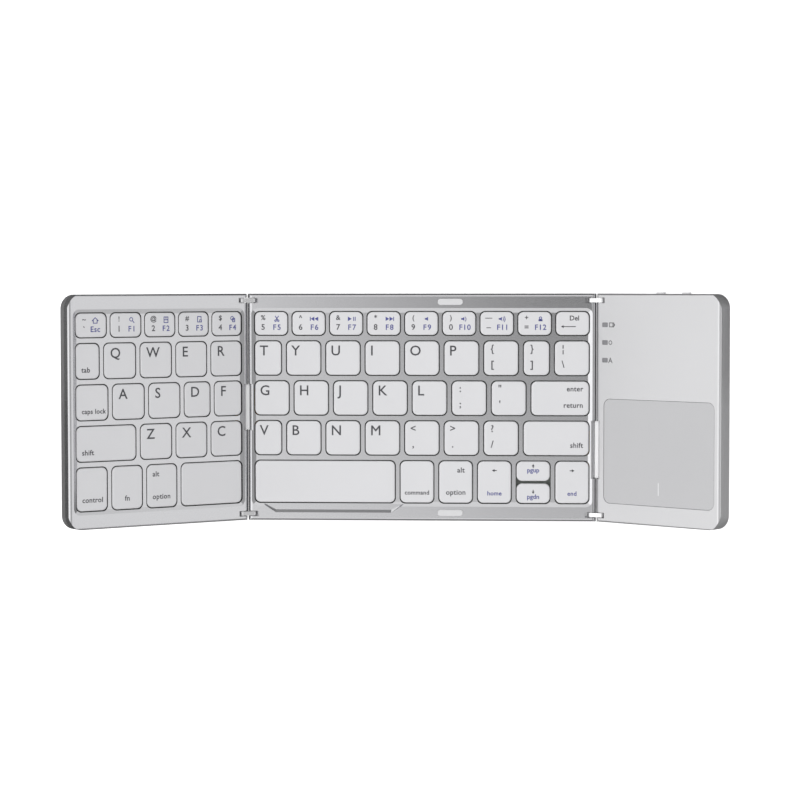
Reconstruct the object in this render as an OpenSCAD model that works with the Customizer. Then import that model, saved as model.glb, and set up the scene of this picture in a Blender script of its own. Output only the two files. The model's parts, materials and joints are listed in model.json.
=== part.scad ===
// Tri-fold pocket keyboard with a touchpad panel.
// Three thin panels stand side by side on two double-pin hinges. The middle panel lies on the
// desk and the side panels are drawn part way up, at left_fold and right_fold.
// Origin: centre of the middle panel's footprint, on the plane its feet stand on.
// +X runs to the right, +Y to the rear, +Z up.

/* [Panels] */
// Depth of every panel, front to rear
panel_depth = 99.1; // [95:0.1:111]
// Thickness of a panel, underside to rim
panel_h = 7.4; // [7.2:0.1:9]
// Distance between the two hinge lines
hinge_span = 152.6; // [150:0.1:165]
// Left panel, hinge line to outer edge
left_w = 87.4; // [86.5:0.1:92]
// Right panel, hinge line to outer edge
right_w = 65; // [64.5:0.1:72]
// Radius of the outer corners in plan
corner_r = 6; // [3:0.5:8]
// Radius of the outer top edges
edge_r = 1.2; // [0.4:0.1:1.8]
// Thickness of the back covers' floors
floor_t = 1; // [0.9:0.05:1.2]
// Thickness of the outer walls
wall_t = 1.2; // [1:0.05:1.5]
// Thickness of a frame under its link slots, down to the seam
slot_floor_t = 0.3; // [0.25:0.05:0.4]
// Front and rear edges of a panel to the outermost keys
rim_d = 7.7; // [7.4:0.05:8]
// Hinge line to the outermost keys of the middle panel
middle_rim = 3.3; // [3.1:0.05:3.8]
// Outer edge of the left panel to its outermost keys
left_rim = 3.5; // [3:0.1:4.5]
// Depth of the key field below the rim
field_depth = 0.8; // [0.6:0.05:1]
// Thickness of the web between the keys
web_t = 1.2; // [0.8:0.05:1.3]
// Key field margin round the outermost keys
field_margin = 1.45; // [1.2:0.05:1.6]
// Width of the slope from the web up to the rim
field_slope = 2; // [1:0.1:2.2]
// Corner radius of the key field
field_r = 3; // [2:0.25:4]

/* [Fold] */
// Left panel, raised from flat, in degrees
left_fold = 37.3; // [0:0.1:90]
// Right panel, raised from flat, in degrees
right_fold = 38; // [0:0.1:90]
// Gap between the edges of two panels
panel_gap = 0.7; // [0.6:0.05:0.9]
// Radius of the rounded panel edges along a hinge
nose_r = 1.95; // [1.85:0.05:2.1]
// Wall of the frames along a hinge
hinge_wall = 1.75; // [1.6:0.05:1.78]
// End radius of the hinge links
link_r = 1.65; // [1.45:0.05:1.75]
// Thickness of the hinge links
link_t = 1.8; // [1.5:0.1:2]
// Middle of the links, from the front and rear edges
link_in = 2.9; // [2.8:0.05:3.25]
// Radius of the hinge pins
pin_r = 0.6; // [0.45:0.05:0.65]
// Running clearance round a pin
pin_play = 0.05; // [0.03:0.01:0.08]
// Reach of a pin into the panel beside its link
pin_reach = 1; // [0.8:0.05:1.05]
// Clearance beside a link in its slot
slot_play = 0.3; // [0.2:0.05:0.35]
// Clearance at the end of a link in its slot
slot_end_play = 1.2; // [0.4:0.1:1.4]
// Thickness of the spine that joins two links
spine_t = 0.4; // [0.3:0.05:0.45]
// Height of that spine
spine_h = 1.05; // [0.9:0.05:1.1]

/* [Cable covers] */
// Length of the left cable cover
left_cover_len = 19.7; // [18:0.1:24]
// Middle of the left cable cover
left_cover_y = 0; // [-4:0.1:4]
// Length of the right cable cover
right_cover_len = 24.7; // [18:0.1:28]
// Middle of the right cable cover
right_cover_y = -18.2; // [-22:0.1:-14]
// Width of a cable cover
cover_w = 2.1; // [1.8:0.05:2.15]
// Height of a cable cover
cover_h = 1.85; // [1.6:0.05:1.9]
// Top of a cable cover, below the pin axes
cover_drop = 0.15; // [0.15:0.05:0.3]
// Width of the flat cables
flex_w = 16; // [10:0.5:17]
// Thickness of the flat cables
flex_t = 0.2; // [0.1:0.05:0.25]
// Length of flat cable inside each panel
flex_in = 4; // [3:0.1:4.2]

/* [Keys] */
// Depth of the number row
number_row_d = 10.5; // [10:0.1:11]
// Depth of the space bar row
space_row_d = 18.6; // [18:0.1:19]
// Gap between rows
row_gap = 2.3; // [2:0.05:2.4]
// Gap between number keys
number_gap = 1.78; // [1.6:0.02:1.9]
// Gap between letter keys
key_gap = 2.07; // [1.9:0.01:2.15]
// Left key field, hinge line to innermost keys
left_field_in = 3.55; // [3.4:0.05:4]
// Width of the narrow keys that start rows two and four
narrow_w = 11.85; // [11.4:0.05:12]
// Width of the bracket key before the last key of row two
bracket_w = 11.4; // [11:0.1:12]
// Width of the tab key
tab_w = 11.2; // [10.8:0.1:12]
// Width of the narrower letter key in the left panel's row three
short_letter_w = 12.8; // [12.5:0.1:14]
// Width of the left shift key
left_shift_w = 28.4; // [27:0.1:29]
// Width of the left panel's space key
left_space_w = 30.2; // [29:0.1:31]
// Width of the space bar
space_w = 61.6; // [60:0.1:62]
// Gap between the two half-height arrow keys
arrow_gap = 0.8; // [0.6:0.1:1]
// Clearance of the openings round the key outlines
hole_play = 0.22; // [0.15:0.01:0.3]
// Key caps, inside the key outlines
cap_inset = 0.2; // [0.15:0.01:0.3]
// Corner radius of the caps
cap_r = 2.1; // [1.5:0.1:2.4]
// Wall of a cap
cap_wall = 0.8; // [0.6:0.05:0.9]
// Thickness of a cap's top
cap_top_t = 1; // [0.8:0.05:1.1]
// Height of a cap
cap_h = 2.4; // [2.2:0.05:2.4]
// Cap top, above the web
cap_rise = 0.3; // [0.1:0.05:0.4]
// Travel of a key
key_travel = 1.6; // [1.2:0.05:1.6]

/* [Key stack] */
// Gap under the key plates
plate_lift = 0.5; // [0.3:0.05:0.5]
// Thickness of the key plates
plate_t = 0.6; // [0.4:0.05:0.6]
// Thickness of the membranes
membrane_t = 0.4; // [0.3:0.05:0.4]
// Clearance of the plates to walls and screw posts
plate_play = 0.4; // [0.3:0.05:0.6]
// Base radius of a rubber dome
dome_r = 2.1; // [1.8:0.05:2.15]
// Wall of a rubber dome
dome_wall = 0.4; // [0.3:0.05:0.5]
// Length of a scissor link
scissor_len = 9; // [8.5:0.1:9.2]
// Width of the outer scissor link
scissor_w = 6.7; // [6.5:0.05:6.8]
// Thickness of a scissor link
scissor_t = 0.6; // [0.4:0.05:0.6]
// Radius of the stabiliser wires
wire_r = 0.4; // [0.3:0.05:0.45]

/* [Touchpad panel] */
// Touchpad's far edge to the panel's outer edge
pad_rim = 2.7; // [2.4:0.1:4]
// Touchpad, depth
pad_d = 45; // [42:0.1:46]
// Touchpad, hinge line to its near edge
pad_s = 5; // [3.6:0.1:6]
// Touchpad's front edge to the panel's front edge
pad_front_in = 8.55; // [7.6:0.05:9.6]
// Touchpad, corner radius
pad_r = 3; // [2:0.1:4]
// Touchpad, thickness
pad_t = 1.1; // [0.8:0.05:1.1]
// Gap round the touchpad
pad_play = 0.15; // [0.1:0.01:0.25]
// Thickness of the top of the touchpad panel
top_t = 1.2; // [1:0.05:1.3]
// Thickness of the circuit boards
board_t = 0.8; // [0.6:0.05:1]
// Battery's far edge to the outer wall
battery_gap = 2.8; // [1:0.1:8]
// Battery, depth
battery_d = 70; // [50:0.5:72]
// Battery, thickness
battery_t = 3; // [2.5:0.1:3.2]
// Battery, hinge line to its near edge
battery_s = 23; // [23:0.1:24]
// Width of an indicator window
lens_w = 3; // [2.4:0.1:3.2]
// Depth of an indicator window
lens_d = 2; // [1.6:0.1:2.2]
// Hinge line to the middle of the indicator windows
lens_s = 5.45; // [5:0.05:6]
// Rearmost indicator window, from the rear edge
lens_in = 13.45; // [12.6:0.05:15.6]
// Spacing of the indicator windows
lens_pitch = 7.65; // [7:0.05:8]
// Number of indicator windows
lens_count = 3; // [1:1:3]
// Charging socket, hinge line to its middle
socket_s = 20; // [18.5:0.1:21]
// Charging socket, width
socket_w = 7.6; // [7:0.1:8.4]
// Charging socket, height
socket_h = 2.6; // [2.4:0.1:2.7]
// Charging socket, depth
socket_d = 5.6; // [5:0.1:5.8]
// Pairing button, hinge line to its middle
button_s = 32.3; // [31.5:0.1:33.5]
// Pairing button, width
button_w = 3.8; // [3.4:0.1:4.4]
// Power switch, outer edge to the knob at rest
switch_in = 19.5; // [18.5:0.1:20.5]
// Power switch knob, width
knob_w = 3.6; // [3.2:0.1:4.4]
// Travel of the power switch
switch_travel = 2; // [1.5:0.1:2]
// Travel of the pairing button
button_travel = 0.3; // [0.2:0.05:0.4]
// Button and knob, out of the rear edge
control_reach = 0.7; // [0.5:0.05:0.8]
// Height of the button and the knob
control_h = 1.8; // [1.6:0.1:2.3]
// Clearance round the button and the knob
control_play = 0.2; // [0.15:0.01:0.3]

/* [Small parts] */
// Radius of a screw's shank
screw_r = 0.8; // [0.6:0.05:0.85]
// Radius of a screw's head
screw_head_r = 1.5; // [1.2:0.05:1.6]
// Height of a screw's head
screw_head_h = 0.5; // [0.4:0.05:0.55]
// Length of a screw's shank
screw_len = 4.4; // [3.5:0.1:4.6]
// Radius of a screw post
post_r = 1.9; // [1.6:0.05:1.95]
// Screws, from the front and rear edges
screw_in = 3.95; // [3.8:0.05:4.2]
// Outermost screws of the side panels, from the outer edge
screw_far_in = 7.3; // [6.5:0.1:8]
// Outermost screws of the middle panel, from the hinge line
screw_hinge_in = 14.3; // [13:0.1:18]
// Screws of the side panels beside the hinge, from the hinge line
screw_near_s = 12; // [11.5:0.1:12.5]
// Screws in the middle panel's rims, left of the middle
screw_mid_x = 24; // [22:0.5:30]
// Length of a magnet
magnet_l = 6; // [4:0.5:6.5]
// Width of a magnet
magnet_w = 3; // [2:0.1:3.2]
// Gap over a magnet, to the frame
magnet_gap = 0.2; // [0.1:0.05:0.6]
// Magnets, from the front and rear edges
magnet_in = 3.35; // [3.15:0.05:3.6]
// Left panel magnets, from the outer edge
left_magnet_in = 17.4; // [14:0.1:20]
// Right panel magnets, from the hinge line
right_magnet_s = 38.7; // [38.4:0.1:39]
// Length of a fold bumper
bumper_l = 10.8; // [8:0.2:12]
// Width of a fold bumper
bumper_w = 2.6; // [2:0.1:2.8]
// Middle of the fold bumpers
bumper_x = 12.6; // [11:0.1:18]
// Fold bumpers, from the front and rear edges
bumper_in = 3.55; // [3.4:0.05:3.75]
// Fold bumper, proud of the rim
bumper_proud = 0.4; // [0.2:0.05:0.45]
// Fold bumper, sunk into the rim
bumper_sunk = 0.6; // [0.4:0.05:0.8]
// Foot, proud of the underside
foot_h = 0.6; // [0.4:0.05:0.9]
// Foot, sunk into the underside
foot_sunk = 0.3; // [0.2:0.05:0.4]
// Length of a foot
foot_l = 20; // [12:0.5:24]
// Width of a foot
foot_w = 4; // [3:0.1:5]
// Feet, from the front and rear edges
foot_in = 8.95; // [6:0.05:14]
// Feet of the side panels, from the outer edge
side_foot_in = 19; // [16:0.5:30]
// Feet of the middle panel, from the hinge line
middle_foot_in = 20.3; // [14:0.1:40]

/* [Hidden] */

$fn = 48;
eps = 1;                                  // overshoot of a cut past the face that it opens
seat = 0.02;                              // clearance of a piece fixed in its seat
LEFT = -1;
RIGHT = 1;

hinge_x = hinge_span / 2;
pin_a = nose_r + panel_gap / 2;           // a pin's distance from the hinge line
pin_z = panel_h - nose_r;
edge_s = panel_gap / 2;                   // a panel's edge, from the hinge line
half_d = panel_depth / 2;
link_y = half_d - link_in;
seam_z = pin_z - link_r - slot_play - slot_floor_t;
web_top = panel_h - field_depth;
web_low = web_top - web_t;
cap_top = web_top + cap_rise;
cap_low = cap_top - cap_h;
plate_z = floor_t + plate_lift;
membrane_z = plate_z + plate_t;
stack_z = membrane_z + membrane_t;        // top of the membrane, where domes and scissors stand
dome_h = cap_top - cap_top_t - stack_z;
slot_end = pin_a + link_r + slot_end_play;
slot_w = link_t + 2 * slot_play;
pin_len = link_t + 2 * pin_reach;
flex_z = stack_z + 0.05;
control_z = 2.7;                          // underside of the button and the knob
screw_hole_play = 0.15;

// Screws, magnets, bumpers and plates follow the panel's edges
screw_y = half_d - screw_in;
magnet_y = half_d - magnet_in;
bumper_y = half_d - bumper_in;
bumper_end_r = bumper_w / 2 - 0.1;
foot_y = half_d - foot_in;
plate_y = screw_y - post_r - plate_play;
magnet_h = seam_z - floor_t - magnet_gap;
left_magnet_s = left_w - left_magnet_in;

// Key rows fill the panel between its rims; rows two to four share what the others leave
field_y = half_d - rim_d;
row_d = (2 * field_y - number_row_d - space_row_d - 4 * row_gap) / 3;
row_depths = [number_row_d, row_d, row_d, row_d, space_row_d];
function sum_to(v, n) = n <= 0 ? 0 : v[n - 1] + sum_to(v, n - 1);
function row_front(r) = field_y - sum_to(row_depths, r + 1) - r * row_gap;

// A row of widths is completed by a last key that fills the field
function filled(widths, gap, field) =
    concat(widths, [field - sum_to(widths, len(widths)) - gap * len(widths)]);
function key_boxes(widths, gap, start, r) =
    [for (i = [0:len(widths) - 1])
        [start + sum_to(widths, i) + i * gap, row_front(r), widths[i], row_depths[r]]];
function pick(v, first, last) = [for (i = [first:last]) v[i]];

// Like keys share the width that the named ones of their row leave
function shared(field, gap, count, named) =
    (field - sum_to(named, len(named)) - gap * (count + len(named) - 1)) / count;

middle_field_x = hinge_x - middle_rim;
middle_field_w = 2 * middle_field_x;
number_w = shared(middle_field_w, number_gap, 9, []);
key_w = shared(middle_field_w, key_gap, 7, [narrow_w, bracket_w]);
modifier_w = shared(middle_field_w, key_gap, 5, [space_w]);
left_field_out = left_w - left_rim;
left_field_w = left_field_out - left_field_in;
left_number_w = shared(left_field_w, number_gap, 5, []);
left_key_w = shared(left_field_w, key_gap, 4, [tab_w]);
left_modifier_w = shared(left_field_w, key_gap, 3, [left_space_w]);
row_gaps = [number_gap, key_gap, key_gap, key_gap, key_gap];
middle_widths = [
    [for (i = [1:8]) number_w],
    [narrow_w, key_w, key_w, key_w, key_w, key_w, key_w, bracket_w],
    [for (i = [1:7]) key_w],
    [narrow_w, key_w, key_w, key_w, key_w, key_w, key_w],
    [space_w, modifier_w, modifier_w, modifier_w, modifier_w]
];
left_widths = [
    [for (i = [1:4]) left_number_w],
    [tab_w, left_key_w, left_key_w, left_key_w],
    [left_key_w, left_key_w, left_key_w, short_letter_w],
    [left_shift_w, left_key_w, left_key_w],
    [left_modifier_w, left_modifier_w, left_modifier_w]
];
middle_rows = [for (r = [0:4])
    key_boxes(filled(middle_widths[r], row_gaps[r], middle_field_w), row_gaps[r], -middle_field_x, r)];
left_rows = [for (r = [0:4])
    key_boxes(filled(left_widths[r], row_gaps[r], left_field_w), row_gaps[r], -left_field_out, r)];

// The two arrow keys share one key's place
arrows = middle_rows[4][4];
arrow_d = (arrows[3] - arrow_gap) / 2;
down_arrow = [arrows[0], arrows[1], arrows[2], arrow_d];
up_arrow = [arrows[0], arrows[1] + arrow_d + arrow_gap, arrows[2], arrow_d];
space_row_keys = concat(pick(middle_rows[4], 1, 3), [middle_rows[4][5]]);

middle_keys = concat(middle_rows[0], middle_rows[1], middle_rows[2], middle_rows[3],
    [middle_rows[4][0], up_arrow, down_arrow], space_row_keys);
left_keys = [for (row = left_rows) each row];
middle_wide_keys = [middle_rows[4][0], middle_rows[2][7], middle_rows[3][7]];
left_wide_keys = [left_rows[3][0], left_rows[4][3]];

// Screws, magnets and feet, as [x, y] in each panel's own frame
screw_x = hinge_x - screw_hinge_in;
middle_screws_at = [for (x = [-screw_x, -screw_mid_x, screw_x]) for (e = [-1, 1]) [x, e * screw_y]];
left_screws_at = [for (x = [-screw_near_s, screw_far_in - left_w]) for (e = [-1, 1]) [x, e * screw_y]];
right_screws_at = [for (x = [screw_near_s, right_w - screw_far_in]) for (e = [-1, 1]) [x, e * screw_y]];
middle_magnets_at = [for (x = [left_magnet_s - hinge_x, hinge_x - right_magnet_s])
    for (e = [-1, 1]) [x, e * magnet_y]];
left_magnets_at = [for (e = [-1, 1]) [-left_magnet_s, e * magnet_y]];
right_magnets_at = [for (e = [-1, 1]) [right_magnet_s, e * magnet_y]];
middle_feet_at = concat([[0, 0]],
    [for (i = [-1, 1]) for (e = [-1, 1]) [i * (hinge_x - middle_foot_in), e * foot_y]]);
left_feet_at = [for (e = [-1, 1]) [side_foot_in - left_w, e * foot_y]];
right_feet_at = [for (e = [-1, 1]) [right_w - side_foot_in, e * foot_y]];

// Touchpad panel, heights and places
top_low = panel_h - top_t;
pad_top = panel_h - 0.1;                  // the touchpad lies a little below the panel's face
pad_low = pad_top - pad_t;
pad_board_z = min(top_low, pad_low) - board_t;
main_z = floor_t + plate_lift;
main_top = main_z + board_t;
board_near = 3;                           // main board, hinge line to its near edge
board_far = 20.5;                         // and to the far edge of its long part
inner_rear = half_d - wall_t;
board_rear = inner_rear - 1.2;
board_tail_y = board_rear - 8.55;
board_long_y = screw_y - post_r - 1.1;    // rear end of the board's long part, short of the screw post
pad_w = right_w - pad_rim - pad_s;
pad_front = pad_front_in - half_d;
ribbon_w = 10;
battery_w = right_w - wall_t - battery_gap - battery_s;
battery_y = -2;                           // middle of the battery
battery_lead_y = battery_y + battery_d / 2 - 5;
lens_y = half_d - lens_in;
switch_s = right_w - switch_in;
switch_side_t = 0.8;                      // walls of the switch body beside the knob
switch_x = switch_s - knob_w / 2 - switch_side_t;
switch_body_w = knob_w + switch_travel + 2 * switch_side_t;
tail_far = switch_x + switch_body_w + 0.4;

// ---- Shared shapes ----

// A rectangle from [x, y] with rounded corners
module rounded(x, y, w, d, r) {
    translate([x + r, y]) square([w - 2 * r, d]);
    translate([x, y + r]) square([w, d - 2 * r]);
    for (i = [x + r, x + w - r], j = [y + r, y + d - r]) translate([i, j]) circle(r);
}

// A piece of a middle panel, in the panel's own frame: z = 0 at its underside
module in_middle() translate([0, 0, foot_h]) children();

// A piece of a hinge link: its pins lie at x = 0 and at x = side * 2 * pin_a, z = 0
module in_link(side, fold)
    translate([side * (hinge_x - pin_a), 0, foot_h + pin_z])
        rotate([0, -side * fold / 2, 0]) children();

// A piece of a side panel: x = 0 on its hinge line, z = 0 at its underside
module in_side(side, fold)
    in_link(side, fold)
        translate([side * 2 * pin_a, 0, 0])
            rotate([0, -side * fold / 2, 0])
                translate([-side * pin_a, 0, -pin_z]) children();

module in_left() in_side(LEFT, left_fold) children();
module in_right() in_side(RIGHT, right_fold) children();

// Outline of a side panel, rounded at its outer corners only
module side_outline(side, w, inset = 0) {
    far = w - inset;
    near = edge_s + inset;
    d = half_d - inset;
    r = corner_r - inset;
    intersection() {
        rounded(side > 0 ? near - 2 * corner_r : -far, -d, far - near + 2 * corner_r, 2 * d, r);
        translate([side > 0 ? near : -far, -d]) square([far - near, 2 * d]);
    }
}

module middle_outline(inset = 0) {
    x = hinge_x - edge_s - inset;
    translate([-x, -half_d + inset]) square([2 * x, panel_depth - 2 * inset]);
}

// Cross section of a panel's upper part: rounded along a hinge, softened at a free edge
module section(x0, r0, x1, r1) {
    translate([x0, 0]) square([x1 - x0, panel_h - max(r0, r1)]);
    translate([x0 + r0, 0]) square([x1 - r1 - x0 - r0, panel_h]);
    translate([x0 + r0, panel_h - r0]) circle(r0);
    translate([x1 - r1, panel_h - r1]) circle(r1);
    translate([x0, 0]) square([(x1 - x0) / 2, panel_h - r0]);
    translate([(x0 + x1) / 2, 0]) square([(x1 - x0) / 2, panel_h - r1]);
}

module upright_section(x0, r0, x1, r1)
    rotate([90, 0, 0])
        linear_extrude(panel_depth + 2, center = true) section(x0, r0, x1, r1);

// The same from front to rear, where both top edges are rounded
module lengthwise_section()
    rotate([90, 0, 90])
        linear_extrude(2 * hinge_span, center = true) section(-half_d, edge_r, half_d, edge_r);

// What a hinge takes out of a panel, whose material lies toward dir * x from the hinge line
module hinge_cuts(dir, cover_y, cover_len) {
    for (e = [-1, 1]) {
        translate([dir > 0 ? -eps : -slot_end, e * link_y - slot_w / 2, pin_z - link_r - slot_play])
            cube([slot_end + eps, slot_w, panel_h]);
        translate([dir * pin_a, e * link_y, pin_z])
            rotate([90, 0, 0]) cylinder(r = pin_r + pin_play, h = pin_len + 0.2, center = true);
    }
    translate([0, cover_y, pin_z])
        rotate([90, 0, 0])
            linear_extrude(cover_len + 2 * slot_play, center = true)
                mirror([dir > 0 ? 0 : 1, 0]) cover_pocket();
}

// Pocket of a cable cover: the panel's edge keeps a small rounded nose round the pin axis
module cover_pocket() {
    low = -cover_drop - cover_h - 0.15;
    pocket_s = cover_w / 2 + 0.15;
    difference() {
        translate([-eps, low]) square([pin_a + 0.3 + eps, nose_r + eps - low]);
        translate([pocket_s, low - eps]) square([pin_a, eps - low]);
        translate([pin_a, 0]) circle(pin_a - pocket_s);
        translate([pin_a, -eps]) square([eps, eps + web_top - pin_z]);
    }
}

// Holes for screws, from below: head recess and shank hole
module screw_holes(places)
    for (p = places) translate([p[0], p[1], -eps]) {
        cylinder(r = screw_head_r + screw_hole_play, h = screw_head_h + 0.05 + eps, $fn = 32);
        cylinder(r = screw_r + screw_hole_play, h = floor_t + 2 * eps, $fn = 32);
    }

// Posts of a frame that reach down to the floor, and the threaded holes in them
module screw_posts(places)
    for (p = places) translate([p[0], p[1], floor_t]) cylinder(r = post_r, h = seam_z - floor_t, $fn = 32);

module screw_threads(places)
    for (p = places) translate([p[0], p[1], floor_t - eps])
        cylinder(r = screw_r + seat, h = screw_head_h + screw_len - floor_t + 0.2 + eps, $fn = 32);

module screws(places)
    for (p = places) translate([p[0], p[1], 0.05]) {
        difference() {
            cylinder(r = screw_head_r, h = screw_head_h, $fn = 32);
            cylinder(r = screw_head_r / 2, h = screw_head_h, center = true, $fn = 6);
        }
        cylinder(r = screw_r, h = screw_head_h + screw_len, $fn = 32);
    }

module foot_shape(places, z, h, grow = 0)
    for (p = places) translate([0, 0, z]) linear_extrude(h)
        rounded(p[0] - foot_l / 2 - grow, p[1] - foot_w / 2 - grow,
            foot_l + 2 * grow, foot_w + 2 * grow, foot_w / 2 - 0.2 + grow);

module feet(places) foot_shape(places, -foot_h, foot_h + foot_sunk - seat);

module magnets(places)
    for (p = places) translate([p[0] - magnet_l / 2, p[1] - magnet_w / 2, floor_t])
        cube([magnet_l, magnet_w, magnet_h]);

// Pads on a floor that carry a plate or a board
module floor_pads(places)
    for (p = places) translate([p[0], p[1], floor_t - 0.1]) cylinder(r = 2, h = plate_lift + 0.1, $fn = 32);

// ---- Keys ----

// A key cap, hollow from below; its outline is [x, y, width, depth]
module key_cap(k) {
    x = k[0] + cap_inset;
    y = k[1] + cap_inset;
    w = k[2] - 2 * cap_inset;
    d = k[3] - 2 * cap_inset;
    difference() {
        translate([0, 0, cap_low]) linear_extrude(cap_h) rounded(x, y, w, d, cap_r);
        translate([0, 0, cap_low - eps]) linear_extrude(cap_h - cap_top_t + eps)
            rounded(x + cap_wall, y + cap_wall, w - 2 * cap_wall, d - 2 * cap_wall, cap_r - cap_wall);
    }
}

module key_caps(keys) color([0.89, 0.89, 0.90]) for (k = keys) key_cap(k);

module key_holes(keys)
    for (k = keys)
        translate([0, 0, web_low - eps]) linear_extrude(panel_h - web_low + 2 * eps)
            rounded(k[0] - hole_play, k[1] - hole_play, k[2] + 2 * hole_play, k[3] + 2 * hole_play,
                cap_r + hole_play + cap_inset);

// A hollow rubber dome under each key
module domes(keys)
    for (k = keys) translate([k[0] + k[2] / 2, k[1] + k[3] / 2, stack_z]) difference() {
        cylinder(r1 = dome_r, r2 = dome_r * 0.6, h = dome_h, $fn = 24);
        translate([0, 0, -eps / 10])
            cylinder(r1 = dome_r - dome_wall, r2 = dome_r * 0.6 - dome_wall,
                h = dome_h - dome_wall, $fn = 24);
    }

// Two frames that cross like scissors under each key
module scissors(keys) {
    tilt = asin((dome_h - scissor_t) / scissor_len) - 0.3;
    bar = 0.6;
    for (k = keys) translate([k[0] + k[2] / 2, k[1] + k[3] / 2, stack_z + dome_h / 2]) {
        rotate([0, tilt, 0]) scissor_frame(scissor_w, bar);
        rotate([0, -tilt, 0]) scissor_frame(scissor_w - 2 * bar - 0.2, bar);
    }
}

module scissor_frame(w, bar)
    difference() {
        cube([scissor_len - 0.2, w, scissor_t], center = true);
        cube([scissor_len - 0.2 - 2 * bar, w - 2 * bar, 2 * scissor_t], center = true);
    }

// A wire that keeps a wide key level: a long bar under the cap and an arm down at each end
module stabiliser(k) {
    half = k[2] / 2 - 3;
    drop = dome_h - 2 * wire_r;
    arm_y = k[3] / 2 - 2.5;
    translate([k[0] + k[2] / 2, k[1] + k[3] / 2, stack_z + dome_h - wire_r]) {
        translate([-half, -arm_y, 0]) rotate([0, 90, 0]) cylinder(r = wire_r, h = 2 * half, $fn = 16);
        for (e = [-1, 1]) translate([e * half, -arm_y, 0]) {
            sphere(r = wire_r, $fn = 16);
            rotate([-90 - atan2(drop, arm_y), 0, 0])
                cylinder(r = wire_r, h = norm([drop, arm_y]), $fn = 16);
        }
    }
}

module stabiliser_wires(keys) color([0.62, 0.63, 0.65]) for (k = keys) stabiliser(k);

// ---- Panels with keys ----

module plate_edge(x0, x1, z, t) translate([x0, -plate_y, z]) cube([x1 - x0, 2 * plate_y, t]);

middle_plate_x = hinge_x - edge_s - wall_t - plate_play;
left_plate_x = [-left_w + wall_t + plate_play, -edge_s - wall_t - plate_play];

// Floor pads in three rows under a plate that spans x0 to x1
pad_in = 7;
function pads_under(x0, x1, columns) =
    [for (i = [0:columns - 1], e = [-1, 0, 1])
        [x0 + pad_in + (x1 - x0 - 2 * pad_in) * i / (columns - 1), e * (plate_y - pad_in)]];
middle_pads_at = pads_under(-middle_plate_x, middle_plate_x, 4);
left_pads_at = pads_under(left_plate_x[0], left_plate_x[1], 3);

// Space inside a frame, under its web
module frame_cavity(x0, x1)
    translate([x0, -plate_y, seam_z - eps]) cube([x1 - x0, 2 * plate_y, web_low - seam_z + eps]);

// The sunken key field
module field(x0, x1) {
    y1 = field_y + field_margin;
    intersection() {
        translate([0, 0, web_top]) linear_extrude(field_depth + eps)
            rounded(x0, -y1, x1 - x0, 2 * y1, field_r);
        rotate([90, 0, 0]) linear_extrude(panel_depth, center = true) field_section(x0, x1);
        rotate([90, 0, 90]) linear_extrude(2 * hinge_span, center = true) field_section(-y1, y1);
    }
}

// Section of the key field, from a point 1 mm under the web to one 1 mm over the rim
module field_section(a, b) {
    foot = field_slope * (1 + 1 / field_depth);
    polygon([[a + foot, web_top - 1], [b - foot, web_top - 1],
        [b, panel_h], [b, panel_h + 1], [a, panel_h + 1], [a, panel_h]]);
}

// Scoop in the front rim under the thumbs, with sloping front and ends
module thumb_scoop() {
    slope = 1.2;
    hull() {
        translate([0, 0, web_top]) linear_extrude(eps) scoop_outline(slope);
        translate([0, 0, panel_h]) linear_extrude(eps) scoop_outline(0);
    }
}

module scoop_outline(inset) {
    back_y = -field_y - 0.5;
    front_y = -field_y - 4.2 + inset;
    lean = 6 - inset;
    x0 = -middle_field_x + 3.2 + inset;
    x1 = -middle_field_x + 4.2 + space_w - inset;
    polygon([[x0, back_y], [x1, back_y], [x1 - lean, front_y], [x0 + lean, front_y]]);
}

module bumper_shape(z, h, grow = 0)
    for (e = [-1, 1]) translate([0, 0, z]) linear_extrude(h)
        rounded(bumper_x - bumper_l / 2 - grow, e * bumper_y - bumper_w / 2 - grow,
            bumper_l + 2 * grow, bumper_w + 2 * grow, bumper_end_r + grow);

module middle_top_frame() {
    edge = hinge_x - edge_s;
    color([0.75, 0.75, 0.78]) in_middle() difference() {
        union() {
            intersection() {
                translate([0, 0, seam_z]) linear_extrude(panel_h) middle_outline();
                upright_section(-edge, nose_r, edge, nose_r);
                lengthwise_section();
            }
            screw_posts(middle_screws_at);
        }
        frame_cavity(-edge + hinge_wall, edge - hinge_wall);
        field(-middle_field_x - field_margin, middle_field_x + field_margin);
        key_holes(concat(middle_rows[0], middle_rows[1], middle_rows[2], middle_rows[3], middle_rows[4]));
        thumb_scoop();
        bumper_shape(panel_h - bumper_sunk, bumper_sunk + eps, seat);
        screw_threads(middle_screws_at);
        translate([-hinge_x, 0, 0]) hinge_cuts(1, left_cover_y, left_cover_len);
        translate([hinge_x, 0, 0]) hinge_cuts(-1, right_cover_y, right_cover_len);
    }
}

module middle_back_cover()
    color([0.80, 0.80, 0.82]) in_middle() {
        edge = hinge_x - edge_s;
        difference() {
            linear_extrude(seam_z) middle_outline();
            translate([0, 0, floor_t]) linear_extrude(seam_z) middle_outline(wall_t);
            cable_notch(-edge, left_cover_y);
            cable_notch(edge, right_cover_y);
            screw_holes(middle_screws_at);
            foot_shape(middle_feet_at, -eps, eps + foot_sunk, seat);
        }
        floor_pads(middle_pads_at);
    }

// Opening for a flat cable in a back cover's wall at x
module cable_notch(x, y)
    translate([x - 2 * wall_t, y - flex_w / 2 - 0.4, flex_z - 0.15])
        cube([4 * wall_t, flex_w + 0.8, seam_z]);

module middle_key_plate()
    color([0.55, 0.56, 0.58]) in_middle() plate_edge(-middle_plate_x, middle_plate_x, plate_z, plate_t);

module middle_membrane()
    color([0.75, 0.78, 0.74]) in_middle()
        plate_edge(-middle_plate_x, middle_plate_x, membrane_z, membrane_t);

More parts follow.
